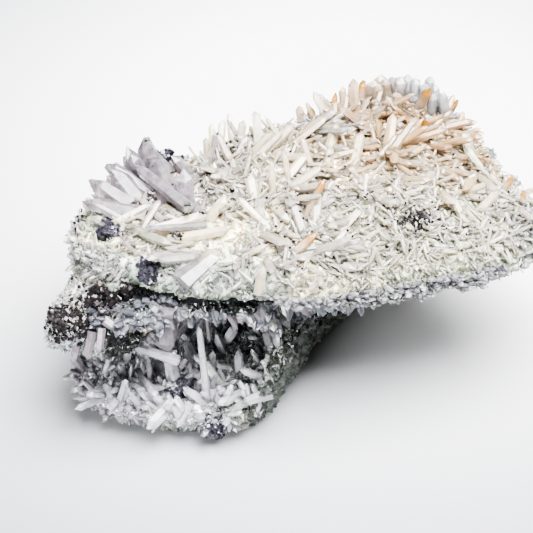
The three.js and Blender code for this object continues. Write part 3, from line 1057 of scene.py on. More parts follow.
@dataclass
class HostRock:
    """The broken rock: a plate above, a foot with a hollow below it, and a shoulder at the left.

    Attributes:
        plan: The plan's place in the frame.
        voxel: Size of the mesh's faces, in millimetres.
        swell: Height of its lumps.
        grain: Height of its grains.
    """

    plan: Plan
    voxel: float = 0.85
    swell: float = 0.5
    grain: float = 0.55

    def build(self, source: bpy.types.Object) -> bpy.types.Object:
        """Builds the rock from the frame's solid.

        Args:
            source: The frame's host rock.

        Returns:
            The rock.
        """
        piece = copied(source, "host_rock_broken")
        even = piece.modifiers.new("even", "REMESH")
        even.mode = "VOXEL"
        even.voxel_size = self.voxel * MM
        mesh = baked(piece).data
        spots, outward = surface(mesh, self.plan)
        rise = self.swell * noise_field(spots, 5.0, 1.0)
        rise += self.grain * (lumps_field(spots, 1.9, 2.0) - 0.5)
        rise *= smoothstep(spots[:, 2], 0.1, 1.5)
        spots += outward * rise[:, None]
        spots[:, 2] = np.maximum(spots[:, 2], 0)
        mesh.vertices.foreach_set("co", self.plan.to_frame(spots).ravel())
        mesh.polygons.foreach_set("use_smooth", np.full(len(mesh.polygons), True))
        mesh.update()
        paint(mesh, self.tints(spots, outward))
        mesh.materials.append(ROCK.material())
        return piece

    def tints(self, spots: Array, outward: Array) -> Array:
        """Gives the rock's colours: green-grey at the foot, dark in the hollow, pale at the left, and
        painted shade.
        """
        _, y, z = spots.T
        veins = noise_field(spots, 7.0, 4.0, 3)
        patches = noise_field(spots, 12.0, 5.0, 2)
        tints = np.tile(Tint.GREY_ROCK.rgb, (len(spots), 1))
        blend(tints, Tint.CHLORITE.rgb, smoothstep(patches, -0.25, 0.25) * 0.8)
        blend(tints, Tint.CREAM.rgb, smoothstep(veins, 0.1, 0.4) * 0.7)
        blend(tints, Tint.DARK_CHLORITE_AND_SHADE.rgb, smoothstep(-veins, 0.22, 0.5) * 0.6)
        # Dark rock at the back of the hollow, deepened with painted shade.
        deep = in_hollow(spots, outward) * smoothstep(y, 12, 24) * smoothstep(z, 12, 20)
        blend(tints, Tint.SLATE_AND_SHADE.rgb, deep * 0.9)
        # Dark chlorite on the foot's right wall, with painted shade under the plate.
        blend(tints, Tint.DARK_CHLORITE_AND_SHADE.rgb, 0.75 * right_wall(spots, 32))
        # Painted shadow: darker along the bottom, where the rock meets the paper.
        blend(tints, Tint.DARK_CHLORITE_AND_SHADE.rgb, 0.8 * (1 - smoothstep(z, 1.5, 4.5)))
        blend(tints, Tint.PALE_LILAC.rgb, 0.8 * foot_front(spots, outward))
        blend(tints, Tint.COOL_GREY.rgb, 0.6 * shoulder(spots))
        # Near black in the slot below the plate's edge and in the cavity: painted shade over dark
        # grains.
        blend(tints, Tint.SLATE_AND_SHADE.rgb, np.maximum(in_slot(spots), cavity(spots)))
        return tints


@dataclass
class Crust:
    """A crust of fine quartz that coats a part of the rock.

    Attributes:
        plan: The plan's place in the frame.
        name: The piece's name.
        thickness: How far it stands above the rock, in millimetres.
        lumps: Height of its lumps.
        region: Tells which places of the rock's skin it coats.
        tint: Gives its colour at each place.
        seed: Shifts its noise.
        box: The specimen's lowest and highest corners in the plan.
        rim: Its thickness at the plate's rim, where it has one.
        ores: Middles and radii of the ore clusters, which it leaves free.
    """

    plan: Plan
    name: str
    thickness: float
    lumps: float
    region: Callable[[Array, Array], Array]
    tint: Callable[[Array], Array]
    seed: float
    box: tuple[Array, Array]
    rim: Optional[float] = None
    ores: Sequence[tuple[Array, float]] = ()

    def build(self, rock: bpy.types.Object, rock_tree: BVHTree) -> bpy.types.Object:
        """Builds the crust on the rock.

        Args:
            rock: The broken rock.
            rock_tree: The frame's rock.

        Returns:
            The crust.
        """
        mesh = rock.data.copy()
        mesh.name = self.name
        coats = self.region(*surface(mesh, self.plan))
        shape = bmesh.new()
        shape.from_mesh(mesh)
        away = [v for v, keep in zip(shape.verts, coats) if not keep]
        bmesh.ops.delete(shape, geom=away, context="VERTS")
        edge = np.array([v.is_boundary for v in shape.verts])
        shape.to_mesh(mesh)
        shape.free()
        spots, outward = surface(mesh, self.plan)
        rise = np.full(len(spots), self.thickness)
        if self.rim is not None:
            thin = 1 - smoothstep(inland(spots, self.plan, rock_tree), 0.45, 1.0)
            rise += thin * (self.rim - self.thickness)
        rise += self.lumps * noise_field(spots, 3.2, self.seed, 3)
        rise += 0.9 * self.lumps * (lumps_field(spots, 2.3, self.seed + 1) - 0.5)
        for middle, radius in self.ores:
            off = np.linalg.norm((spots - middle)[:, :2], axis=1) / radius
            rise *= 1 - 0.85 * np.exp(-(off**4))
        rise = np.where(edge, CRUST_EDGE, np.maximum(rise, 0.2))
        spots = np.clip(spots + outward * rise[:, None], *self.box)
        mesh.vertices.foreach_set("co", self.plan.to_frame(spots).ravel())
        mesh.attributes.remove(mesh.attributes["tint"])
        paint(mesh, self.tint(spots))
        mesh.materials.clear()
        mesh.materials.append(SUGAR.material())
        piece = add_object(self.name, mesh)
        shell = piece.modifiers.new("body", "SOLIDIFY")
        shell.thickness = (self.thickness + CRUST_ROOT) * MM
        shell.offset = -1
        return baked(piece)


def crust_tint(spots: Array) -> Array:
    """Gives the colour of the plate's crust: cream, with green dust in patches and along its edge."""
    tints = np.tile(Tint.CREAM.rgb, (len(spots), 1))
    patches = noise_field(spots, 6.0, 21.0, 3)
    for zone in PLATE_ZONES:
        most = 0.5 if zone.root is Tint.PEACH else 0.8
        blend(tints, zone.root.rgb, most * zone.strength(spots))
    blend(tints, Tint.PALE_GREEN.rgb, 0.7 * smoothstep(patches, 0.0, 0.35))
    blend(tints, Tint.CHLORITE.rgb, 0.5 * smoothstep(noise_field(spots, 3.0, 22.0, 2), 0.4, 0.7))
    blend(tints, 0.9 * Tint.PALE_GREEN.rgb, 0.6 * finer(spots))
    blend(tints, 0.46 * Tint.SHADOW_GREY.rgb + 0.46 * Tint.PALE_GREEN.rgb, 0.8 * lip(spots))
    x, y, z = spots.T
    # The lower edge takes the grey lilac of its crystals, darker towards the left, with painted shade
    # on the down-facing edge.
    shade = (0.85 + 0.35 * smoothstep(x, 10, 30))[:, None]
    blend(tints, shade * Tint.GREY_LILAC.rgb, 0.75 * (1 - smoothstep(z, 38, 42)))
    line = smoothstep(x, -46, -40) * (1 - smoothstep(x, -2, 6)) * (y < 32)
    line = line * (1 - smoothstep(z + 1.5 * patches, 42.0, 44.5))
    blend(tints, 0.7 * Tint.PALE_GREEN.rgb, 0.85 * line)
    return tints


def hollow_tint(spots: Array) -> Array:
    """Gives the hollow lining's colour: white at the mouth, painted light at the left, dark rock and
    painted shade to the back.
    """
    x, y, z = spots.T
    tints = np.tile((Tint.COOL_GREY.rgb + Tint.PALE_LILAC.rgb) / 2, (len(spots), 1))
    blend(tints, Tint.PALE_LILAC.rgb, smoothstep(noise_field(spots, 5.0, 31.0, 2), -0.2, 0.3))
    right = smoothstep(x, -22, -12)
    # Painted light: the left part is lifted above the lining's white.
    blend(tints, 1.2 * Tint.PALE_LILAC.rgb, 1 - right)
    # Dark rock and painted shade at the back of the hollow and in the recess under the ledge at the
    # left.
    deep = smoothstep(y + 13 * right, 21, 36) * smoothstep(z, 12, 22) * smoothstep(x, -38, -20)
    blend(tints, Tint.SLATE_AND_SHADE.rgb, 0.9 * deep)
    roof = smoothstep(z, 25, 29) * (1 - smoothstep(x, -34, -30)) * smoothstep(x, -50, -46)
    blend(tints, Tint.SLATE_AND_SHADE.rgb, 0.9 * roof)
    # Painted light: the lower left is lifted above the lining's white.
    left = (1 - smoothstep(x, -46, -40)) * (1 - smoothstep(z, 24, 30))
    blend(tints, 1.15 * Tint.PALE_LILAC.rgb, 0.8 * left)
    # Chlorite at the right, darkened as painted shade.
    blend(tints, 0.7 * Tint.CHLORITE.rgb, 0.6 * right)
    return tints


# The plate's large crystals: x, y, heading, lean, length and width.
PLATE_CRYSTALS = (
    (-20, 46, 140, 76, 27, 6), (-24, 49, 96, 45, 14, 8), (-29, 55, 117, 61, 19, 10),
    (-36, 58, 160, 66, 15, 5.5), (-39, 54, 144, 50, 12, 7.5), (-19, 39, -160, 78, 17, 3.4),
    (-23, 18, 45, 79, 15, 7.5), (-17, 42, 45, 54, 9, 4), (-42, 42, 170, 60, 11, 3.4),
    (-40, 65, 120, 76, 9, 4.5), (-2, 16, 75, 30, 7, 3.8), (1, 38, 135, 70, 14, 3),
    (11, 42, 55, 50, 14, 3), (5, 54, 25, 65, 14, 3.1), (14, 66, 110, 50, 11, 2.4),
    (7, 58, 100, 54, 11, 2.4), (2, 54, 95, 40, 10, 2.6), (-17, 78, 80, 40, 8, 2.6),
    (16, 94, 140, 30, 8, 2.4), (36, 84, 100, 35, 8, 2.4), (-8, 86, 140, 42, 9, 2.6),
    (19, 105, -117, 21, 8, 3), (34, 113, 26, 24, 8, 2.4), (29, 114, -81, 15, 7, 2.2),
    (51, 104, 0, 17, 9, 4.4), (60, 102, -20, 20, 8, 2.8), (66, 70, 45, 45, 6, 2.4),
    (72, 60, 40, 50, 6, 2.6), (76, 52, 60, 40, 6, 2.4), (43, 82, 10, 74, 15, 3.2),
    (59, 44, 120, 55, 9, 3.2), (63, 48, 35, 55, 9, 3.6), (7, 26, 30, 60, 10, 3.7),
    (18, 26, 50, 65, 9, 2.8), (-42, 49, 148, 69, 14, 8.5), (-37, 45, 172, 80, 18, 7.5),
    (-37, 62, 132, 37, 10, 5), (-31, 68, 135, 65, 12, 6.5), (-25, 69, 166, 42, 7, 5),
    (-32, 36, 21, 82, 16, 5.5), (-44, 40, 34, 80, 12, 4), (-27, 33, 10, 84, 17, 4.6),
    (31, 109, -125, 16, 6, 3), (15, 104, -104, 20, 6, 4), (51, 90, 120, 8, 5, 3),
    (19, 106, 116, 16, 7.5, 3.2), (22, 106, 75, 31, 8.5, 3.4), (26, 107, 102, 31, 8.5, 3),
    (28, 108, 80, 25, 9.5, 3.4), (31, 110, 63, 23, 9, 3.6), (21, 104, 140, 14, 7, 3),
    (-19, 82, 101, 12, 6, 3), (-17, 84, 98, 39, 9, 3.4), (-15, 85, 83, 50, 10, 3.2),
    (-11, 88, 99, 48, 10, 3.2), (-9, 89, 67, 30, 8.5, 3.2), (2, 92, 150, 52, 7, 3),
    (12, 98, 125, 17, 7.5, 3), (-42, 59, 131, 42, 11, 9), (-39, 64, 126, 39, 12, 8),
    (-44, 51, 176, 46, 9, 9), (-36, 68, 101, 32, 11, 8),
)  # fmt: skip
# The bluish clump at the plate's back edge, in the same way.
BACK_CLUMP = (
    (35, 107, 76, 15, 8.5, 5.6), (39, 110, 114, 17, 10, 6.2), (40, 112, 72, 16, 10.5, 5.6),
    (42, 113, 63, 17, 11.5, 6.6), (46, 113, 126, 19, 11.5, 5.8), (47, 113, 78, 16, 12, 6.6),
    (50, 112, 89, 16, 12, 5.8), (53, 111, 123, 18, 12, 6.4), (54, 109, 79, 15, 11.5, 5.8),
    (57, 105, 125, 18, 10.5, 6.2), (59, 101, 125, 17, 8.5, 5.6), (36, 106, 32, 7, 7.5, 5.4),
    (40, 109, 150, 7, 9, 5.8), (44, 111, 166, 15, 10, 5.4), (44, 111, 29, 8, 10, 6),
    (47, 111, 84, 4, 11, 5.6), (50, 109, 138, 6, 10, 5.2), (52, 107, 58, 4, 9.5, 5.6),
    (54, 103, 28, 7, 7.5, 5.8),
)  # fmt: skip
# Numbers of the large crystals with another tint.
AMBER_CRYSTAL = 12
SLAB = 6  # half clear
AMBER_TIPS = [*range(21, 29), 32, 42, 43, 44, 46, 49]
CLEAR_CRYSTALS = [*range(6), 8, 9, 17, 20, *range(34, 39), *range(58, 62)]

# The hollow's large crystals: x, y, z, heading, lean, length and width.
HOLLOW_CRYSTALS = (
    (-29, 14, 37, -82, 172, 13.5, 8), (-34, 18, 31, 165, 105, 6, 4),
    (-23, 19, 33, 165, 168, 8, 2.8), (-22, 18, 33, 168, 155, 12, 2.8),
    (-17, 19, 33, -78, 168, 10, 2.5), (-10, 17, 34, -10, 170, 7, 2.4),
    (-1, 17, 34, -90, 165, 6, 2.4), (4, 18, 34, -60, 158, 6, 2.6), (7, 19, 34, -120, 150, 6, 2.4),
    (-27, 11.5, 21.5, -168, 56, 14.5, 3.9),
    (-13, 25, 12, 148, 25, 6, 4.7), (-8, 17, 11, 98, 28, 7, 3.6), (-16, 17, 10, 90, 34, 7, 2.6),
    (-42, 21, 11, 69, 30, 7, 3.2), (-47, 20, 11, 86, 25, 9, 3.2), (-54, 22, 11, 80, 31, 7, 3.2),
    (-39, 19, 10, -65, 76, 18, 2.8), (-27, 13, 11, 126, 15, 11, 7),
    (-17, 6, 9, 108, 17, 25, 3.2), (-39, 12, 10, -49, 74, 14, 3.2),
    (-6, 10, 10, -132, 74, 12, 3.8), (-28, 4, 10, -129, 100, 10, 4.4),
    (-48, 8, 9.5, -139, 82, 10, 3.6), (-44, 8, 9, -95, 72, 8, 4.8),
    (-11, 16, 36, -43, 139, 6, 2.8), (-8, 16, 36, -62, 138, 4, 2.6), (-3, 16, 36, -30, 133, 5, 3.2),
    (5, 18, 36, -69, 148, 7, 2.8), (10, 20, 37, -60, 118, 6, 4.4), (-15, 16, 36, -61, 161, 5, 2.8),
    (2, 18, 36, -55, 129, 4, 3.2), (-6, 16, 36, -27, 128, 4, 2.8), (-25, 16, 36, -41, 155, 4, 3.4),
    (-22, 16, 36, -72, 158, 5, 2.6), (-32, 16, 35, -80, 150, 5, 3.4), (-38, 14, 34, -60, 140, 5, 3),
    (-31, 5, 8.5, 155, 58, 9, 3.8), (-23, 3, 10, -113, 103, 7, 3.4),
    (-49, 8, 34, -113, 147, 7, 3.2), (-46, 7, 36, -103, 148, 6, 2.8), (-53, 9, 32, -112, 140, 7, 3),
    (-45, 10, 38, -42, 98, 5, 3.4), (-37, 13, 38, -117, 108, 4, 3.8),
)  # fmt: skip
FIRST_IN_HOLLOW = 60  # number of the hollow's first crystal


def large_crystals(rows: Array, heights: Array, first: int) -> Crystals:
    """Gives the large crystals whose places and sizes are listed.

    Args:
        rows: x, y, heading, lean, length and width, one row each.
        heights: Their heights.
        first: The first one's number.

    Returns:
        The crystals, with plain tints.
    """
    numbers = np.arange(len(rows)) + first
    flatness = np.array([0.68 + 0.32 * chance(int(n), 5) for n in numbers])
    turns = np.array([math.pi * chance(int(n), 6) for n in numbers])
    spots = np.column_stack([rows[:, 0], rows[:, 1], heights])
    plain = np.tile([*(Tint.CREAM.rgb + Tint.MILK.rgb) / 2, 0.25], (len(rows), 1))
    tips = np.tile([*Tint.MILK.rgb, 0.45], (len(rows), 1))
    return Crystals(
        spots, directions(rows[:, 2], rows[:, 3]), rows[:, 4], rows[:, 5], plain, tips, flatness, turns
    )


def held_in(crystals: Crystals, low: Array, high: Array) -> Crystals:
    """Shortens crystals whose tips would stand out of a box, and leaves out those left too short.

    Args:
        crystals: The crystals.
        low: The box's lowest corner.
        high: Its highest corner.

    Returns:
        The crystals that fit.
    """
    radii = 0.55 * crystals.widths[:, None] * np.sqrt(np.clip(1 - crystals.axes**2, 0, 1))
    ahead = np.where(crystals.axes > 0, high - crystals.spots, crystals.spots - low) - radii
    behind = np.where(crystals.axes > 0, crystals.spots - low, high - crystals.spots) - radii
    limit = (ahead / np.maximum(np.abs(crystals.axes), 1e-6)).min(axis=1)
    limit[(behind < 0).any(axis=1)] = 0
    fits = limit > crystals.widths * 1.3
    kept = crystals.only(fits)
    kept.lengths = np.minimum(kept.lengths, limit[fits])
    return kept


@dataclass
class PlateDruse:
    """The needles on the plate: large crystals, sprays of needles, small ones and a fringe.

    Attributes:
        plan: The plan's place in the frame.
        box: The specimen's lowest and highest corners in the plan.
        rock_tree: The frame's rock, whose plate ends at the rim.
        crust_tree: The plate's crust, on which the large crystals' heights are found.
        sprays: Number of sprays of medium needles.
        small: Small needles per square millimetre.
        fringe: Number of stubby crystals along the lower front edge.
        side: Blunt crystals on the left edge, per square millimetre.
        ores: Middles and radii of the ore clusters that stay free.
    """

    plan: Plan
    box: tuple[Array, Array]
    rock_tree: BVHTree
    crust_tree: BVHTree
    ores: list[tuple[Array, float]]
    sprays: int = 590
    small: float = 0.14
    fringe: int = 520
    side: float = 0.3
    rng: np.random.Generator = field(default_factory=lambda: np.random.default_rng(11))

    def build(self, skin: Skin) -> bpy.types.Object:
        """Builds the needles on the skin of the plate's crust, as one piece."""
        shape = Shape()
        large = held_in(self.large(), *self.box)
        large.prisms(shape, self.rng)
        held_in(self.clump(), *self.box).prisms(shape, self.rng)
        for crystals, detailed, inside in (
            (self.medium(skin), True, 0.93),
            (self.little(skin), False, 0.8),
            (self.stubs(skin), False, 0.0),
            (self.left_edge(skin), False, 0.0),
        ):
            clear = self.clear_of(crystals, large) & self.over_plate(crystals, inside)
            held_in(crystals.only(clear), *self.box).prisms(shape, self.rng, detailed)
        return shape.build("quartz_needles_plate", self.plan, QUARTZ)

    def standing(self, listed: Sequence[tuple], first: int) -> Crystals:
        """Gives listed crystals, standing on the mat of needles, with plain tints.

        Args:
            listed: x, y, heading, lean, length and width, one row each.
            first: The first one's number.

        Returns:
            The crystals.
        """
        rows = np.array(listed, dtype=float)
        heights = []
        for x, y in rows[:, :2]:
            start = Vector(self.plan.to_frame(np.array([x, y, ABOVE_ALL])))
            hit = self.crust_tree.ray_cast(start, DOWN)[0]
            top = Vector(self.plan.to_frame(np.array([x, y, PLATE_TOP])))
            hit = hit or self.crust_tree.find_nearest(top)[0]
            heights.append(hit.z / MM)
        return large_crystals(rows, np.array(heights), first)

    def clump(self) -> Crystals:
        """Gives the blunt bluish crystals at the plate's back edge, which merge into one lump."""
        rng = np.random.default_rng(17)
        rows = [np.array(BACK_CLUMP, dtype=float)]
        for row in rows[0]:
            near = np.tile(row, (4, 1))
            near[:, :2] += rng.normal(0, 2.6, (4, 2)) + [0, 0.6]
            near[:, 2] = rng.uniform(0, 360, 4)
            near[:, 3] = rng.uniform(15, 62, 4)
            near[:, 4] *= rng.uniform(0.35, 0.7, 4)
            near[:, 5] *= rng.uniform(0.35, 0.8, 4)
            rows.append(near)
        listed = np.concatenate(rows)
        crystals = self.standing(listed, len(PLATE_CRYSTALS))
        crystals.sharpness = 0.2
        shade = rng.uniform(0.85, 1.1, (len(listed), 1))
        crystals.roots[:, :3] = Tint.PALE_LILAC.rgb * 0.8 * shade
        crystals.tips[:, :3] = (Tint.COOL_GREY.rgb + 0.35 * Tint.MILK.rgb) * 0.85 * shade
        warm = 0.8 * (1 - smoothstep(crystals.spots[:, 0], 40, 47))
        for values in (crystals.roots, crystals.tips):
            blend(values[:, :3], (Tint.PEACH.rgb + Tint.MILK.rgb) / 2 * shade, warm)
        return crystals

    def large(self) -> Crystals:
        """Gives the listed large crystals."""
        crystals = self.standing(PLATE_CRYSTALS, 0)
        warm = 0.8 * PEACH_ZONE.strength(crystals.spots)
        for values in (crystals.roots, crystals.tips):
            blend(values[:, :3], Tint.PEACH.rgb, warm)
        milky_peach = (Tint.PEACH.rgb + Tint.MILK.rgb) / 2
        for numbers, root, tip in (
            (SLAB, (*Tint.GREY_LILAC.rgb, 0.6), (*Tint.MILK.rgb, 0.6)),
            (CLEAR_CRYSTALS, (*Tint.GREY_LILAC.rgb, 0.55), (*Tint.GREY_LILAC.rgb, 0.8)),
            (AMBER_TIPS, (*milky_peach, 0.3), (*Tint.AMBER.rgb, 0.6)),
            (AMBER_CRYSTAL, (*milky_peach, 0.4), (*Tint.AMBER.rgb, 0.6)),
        ):
            crystals.roots[numbers], crystals.tips[numbers] = root, tip
        return crystals

    def over_plate(self, crystals: Crystals, share: float) -> Array:
        """Tells which crystals end above the plate, apart from a few that may stand out of it.

        Args:
            crystals: The crystals.
            share: The share of the others that is left out.

        Returns:
            True for each crystal that is kept.
        """
        above = above_plate(crystals.ends(), self.plan, self.rock_tree)
        return above | (self.rng.random(len(crystals)) > share)

    def clear_of(self, crystals: Crystals, large: Crystals) -> Array:
        """Tells which crystals leave the thick ones' sides and the ore clusters free."""
        thick = large.only(large.widths >= 3.0)
        margins = np.where(thick.widths > 4, 0.8, 0.0)
        middles = crystals.spots + crystals.axes * crystals.lengths[:, None] * 0.5
        free = np.ones(len(crystals), dtype=bool)
        for points in (middles, crystals.ends()):
            free &= apart_from(points, thick, 0.25, margins)
        for middle, radius in self.ores:
            for points in (crystals.spots, middles, crystals.ends()):
                free &= np.linalg.norm(points - middle, axis=1) > radius
        return free

    def medium(self, skin: Skin) -> Crystals:
        """Gives sprays of needles that spread from one root and lie low on the crust."""
        rng = self.rng
        flat = smoothstep(skin.outward[:, 2], 0.7, 0.92)
        density = flat * (1 - 0.4 * lip(skin.middles)) * (1 + 1.4 * finer(skin.middles))
        density *= self.sprays / (density * skin.areas).sum()
        centres, outward = skin.scatter(rng, density)
        counts = rng.integers(2, 7, len(centres))
        middle = np.repeat(np.arange(len(centres)), counts)
        total = len(middle)
        spots = centres[middle] + rng.normal(0, 1.1, (total, 3)) * [1, 1, 0.1] - 1.7 * outward[middle]
        drift = 400 * noise_field(centres, 24.0, 8.0, 1) + rng.normal(0, 70, len(centres))
        headings = drift[middle] + rng.normal(0, 30, total)
        leans = np.clip(rng.normal(81, 7, total), 40, 92)
        leans -= rng.uniform(0, 20, total) * np.clip(1.3 * PEACH_ZONE.strength(spots), 0, 1)
        lengths = np.clip(rng.lognormal(math.log(11.5), 0.3, total), 6, 20)
        inner = smoothstep(inland(centres, self.plan, self.rock_tree, 7.0), 0.5, 1)[middle]
        lengths *= 0.5 + 0.5 * inner
        lengths *= 1 - 0.45 * finer(spots)
        widths = np.clip(lengths * rng.uniform(0.15, 0.31, total), 1.1, 4.0)
        axes = laid_over(outward[middle], headings, leans)
        axes[:, 1] *= np.where((inner < 0.9) & (axes[:, 1] < 0) & (spots[:, 0] > 0), -1, 1)
        roots, tips = tinted(rng, spots, PLATE_ZONES)
        return Crystals(spots, axes, lengths, widths, roots, tips)

    def little(self, skin: Skin) -> Crystals:
        """Gives small needles all over the crust."""
        rng = self.rng
        density = self.small * (skin.outward[:, 2] > -0.1) * (1 + 1.3 * finer(skin.middles))
        spots, outward = skin.scatter(rng, density)
        count = len(spots)
        axes = turned_from(outward, rng, 55, 88)
        lengths = rng.uniform(2.4, 7.0, count) * (0.5 + 0.5 * smoothstep(outward[:, 2], 0.6, 0.95))
        widths = np.clip(lengths * rng.uniform(0.14, 0.26, count), 0.8, 1.6)
        roots, tips = tinted(rng, spots, PLATE_ZONES)
        return Crystals(spots, axes, lengths, widths, roots, tips)

    def stubs(self, skin: Skin) -> Crystals:
        """Gives stubby bluish crystals that stand out from the front edge's lower part."""
        rng = self.rng
        x, _, z = skin.middles.T
        low = (z < 42.5) & (skin.outward[:, 2] < 0.75) & (skin.outward[:, 1] < 0.3) & (x > 0)
        spots, outward = skin.scatter(rng, low * self.fringe / (low * skin.areas).sum())
        count = len(spots)
        axes = unit(outward + [0, -0.2, 0.1] + rng.normal(0, 0.45, (count, 3)))
        lengths = rng.uniform(1.2, 3.6, count)
        widths = rng.uniform(1.8, 3.8, count)
        roots, tips = tinted(rng, spots, (), Tint.SHADOW_GREY, Tint.PALE_LILAC, 0.5)
        # Painted shade: the stubs face down at the front edge and are darkened for it.
        roots[:, :3] *= 0.76
        tips[:, :3] *= 0.72
        return Crystals(spots, axes, lengths, widths, roots, tips)

    def left_edge(self, skin: Skin) -> Crystals:
        """Gives blunt crystals that stand out from the plate's left edge."""
        rng = self.rng
        edge = (skin.outward[:, 0] < -0.35) & (skin.outward[:, 2] < 0.8) & (skin.middles[:, 0] < -38)
        spots, outward = skin.scatter(rng, self.side * edge)
        count = len(spots)
        axes = unit(outward + [0, 0, 0.25] + rng.normal(0, 0.5, (count, 3)))
        lengths = rng.uniform(1.4, 4.2, count)
        widths = rng.uniform(1.4, 2.8, count)
        roots, tips = tinted(rng, spots, PLATE_ZONES, Tint.MILK, Tint.PALE_LILAC, 0.5)
        return Crystals(spots, axes, lengths, widths, roots, tips)


@dataclass
class HollowDruse:
    """The clearer crystals of the hollow.

    Attributes:
        plan: The plan's place in the frame.
        box: The specimen's lowest and highest corners in the plan.
        medium: Number of prisms on the floor beside the listed large ones.
        small: Number of small prisms on the foot's front.
        hanging: Prisms that hang from the roof's front, per square millimetre.
        ledge: The same for the ledge's top, below the slot.
    """

    plan: Plan
    box: tuple[Array, Array]
    medium: int = 110
    small: int = 190
    hanging: float = 0.34
    ledge: float = 0.4
    rng: np.random.Generator = field(default_factory=lambda: np.random.default_rng(23))

    def build(self, skin: Skin, rock: Skin) -> bpy.types.Object:
        """Builds the hollow's crystals.

        Args:
            skin: The skin of the hollow's lining.
            rock: The skin of the bare rock, whose foot they cover too.

        Returns:
            The crystals as one piece.
        """
        rng = self.rng
        shape = Shape()
        rows = np.array(HOLLOW_CRYSTALS, dtype=float)
        large = large_crystals(rows[:, [0, 1, 3, 4, 5, 6]], rows[:, 2], FIRST_IN_HOLLOW)
        large.roots[:] = [*Tint.PALE_LILAC.rgb, 0.45]
        large.tips[:] = [*Tint.PALE_LILAC.rgb, 0.6]
        high = rows[:, 2] > 30
        large.roots[high, :3], large.tips[high, :3] = Tint.GREY_LILAC.rgb, Tint.GREY_LILAC.rgb * 1.1
        held_in(large, *self.box).prisms(shape, rng)
        margins = np.full(len(large), 0.9)
        for crystals in (self.floor(skin), self.foot(rock), self.roof(skin, rock)):
            free = apart_from(crystals.ends(), large, 0.3, margins)
            held_in(crystals.only(free), *self.box).prisms(shape, rng)
        return shape.build("quartz_crystals_hollow", self.plan, QUARTZ)

    def floor(self, skin: Skin) -> Crystals:
        """Gives the prisms that stand and lie on the hollow's floor."""
        rng = self.rng
        _, y, z = skin.middles.T
        density = (y < 30) * np.where(z < 16, 1.0, 0.03)
        spots, outward = skin.scatter(rng, density * self.medium / (density * skin.areas).sum())
        count = len(spots)
        axes = unit(turned_from(outward, rng, 20, 80) + np.array([0, -0.2, 0.25]))
        lengths = rng.uniform(3.5, 8.0, count)
        widths = np.clip(lengths * rng.uniform(0.36, 0.6, count), 2.0, 4.2)
        roots, tips = tinted(rng, spots, (), Tint.PALE_LILAC, Tint.PALE_LILAC, 0.5)
        return Crystals(spots, axes, lengths, widths, roots, tips, sharpness=0.3)

    def foot(self, rock: Skin) -> Crystals:
        """Gives the small prisms on the foot's front."""
        rng = self.rng
        cover = foot_front(rock.middles, rock.outward).astype(float)
        spots, outward = rock.scatter(rng, cover * self.small / (cover * rock.areas).sum())
        count = len(spots)
        axes = turned_from(outward, rng, 15, 75)
        lengths = rng.uniform(1.8, 5.6, count)
        widths = np.clip(lengths * rng.uniform(0.4, 0.8, count), 1.6, 3.6)
        roots, tips = tinted(rng, spots, (), Tint.PALE_LILAC, Tint.PALE_LILAC, 0.4)
        # Painted shadow: darker towards the bottom, where the foot meets the paper.
        for values in (roots, tips):
            values[:, :3] *= 0.4 + 0.45 * smoothstep(spots[:, 2], 2, 12)[:, None]
        return Crystals(spots, axes, lengths, widths, roots, tips)

    def roof(self, skin: Skin, rock: Skin) -> Crystals:
        """Gives the lilac-grey blocky prisms on the ledge below the slot and under its front."""
        rng = self.rng
        below = under_slot(rock.middles, rock.outward) & (rock.outward[:, 2] < 0.6)
        front = (skin.middles[:, 2] > 30) & (skin.middles[:, 1] < 24)
        picked = [
            skin.scatter(rng, self.hanging * front),
            rock.scatter(rng, self.hanging * below),
            rock.scatter(rng, self.ledge * on_ledge(rock.middles, rock.outward)),
        ]
        spots, outward = (np.concatenate(parts) for parts in zip(*picked))
        solid = cavity(spots) < 0.5
        spots, outward = spots[solid], outward[solid]
        count = len(spots)
        top = outward[:, 2:] > 0.3
        aim = np.where(top, [0, -0.8, 0.0], [0, -0.5, -0.6])
        axes = unit(outward * np.where(top, 0.5, 1) + aim + rng.normal(0, 0.38, (count, 3)))
        lengths = rng.uniform(1.8, 4.6, count) * (1 + 0.35 * smoothstep(spots[:, 0], -16, -6))
        widths = rng.uniform(1.8, 3.9, count)
        roots, tips = tinted(rng, spots, (), Tint.SHADOW_GREY, Tint.COOL_GREY, 0.6)
        # Painted shade: darkened, as they sit under the plate's edge.
        roots[:, :3] *= 0.68
        tips[:, :3] *= 0.62
        return Crystals(spots - 0.6 * outward, axes, lengths, widths, roots, tips)


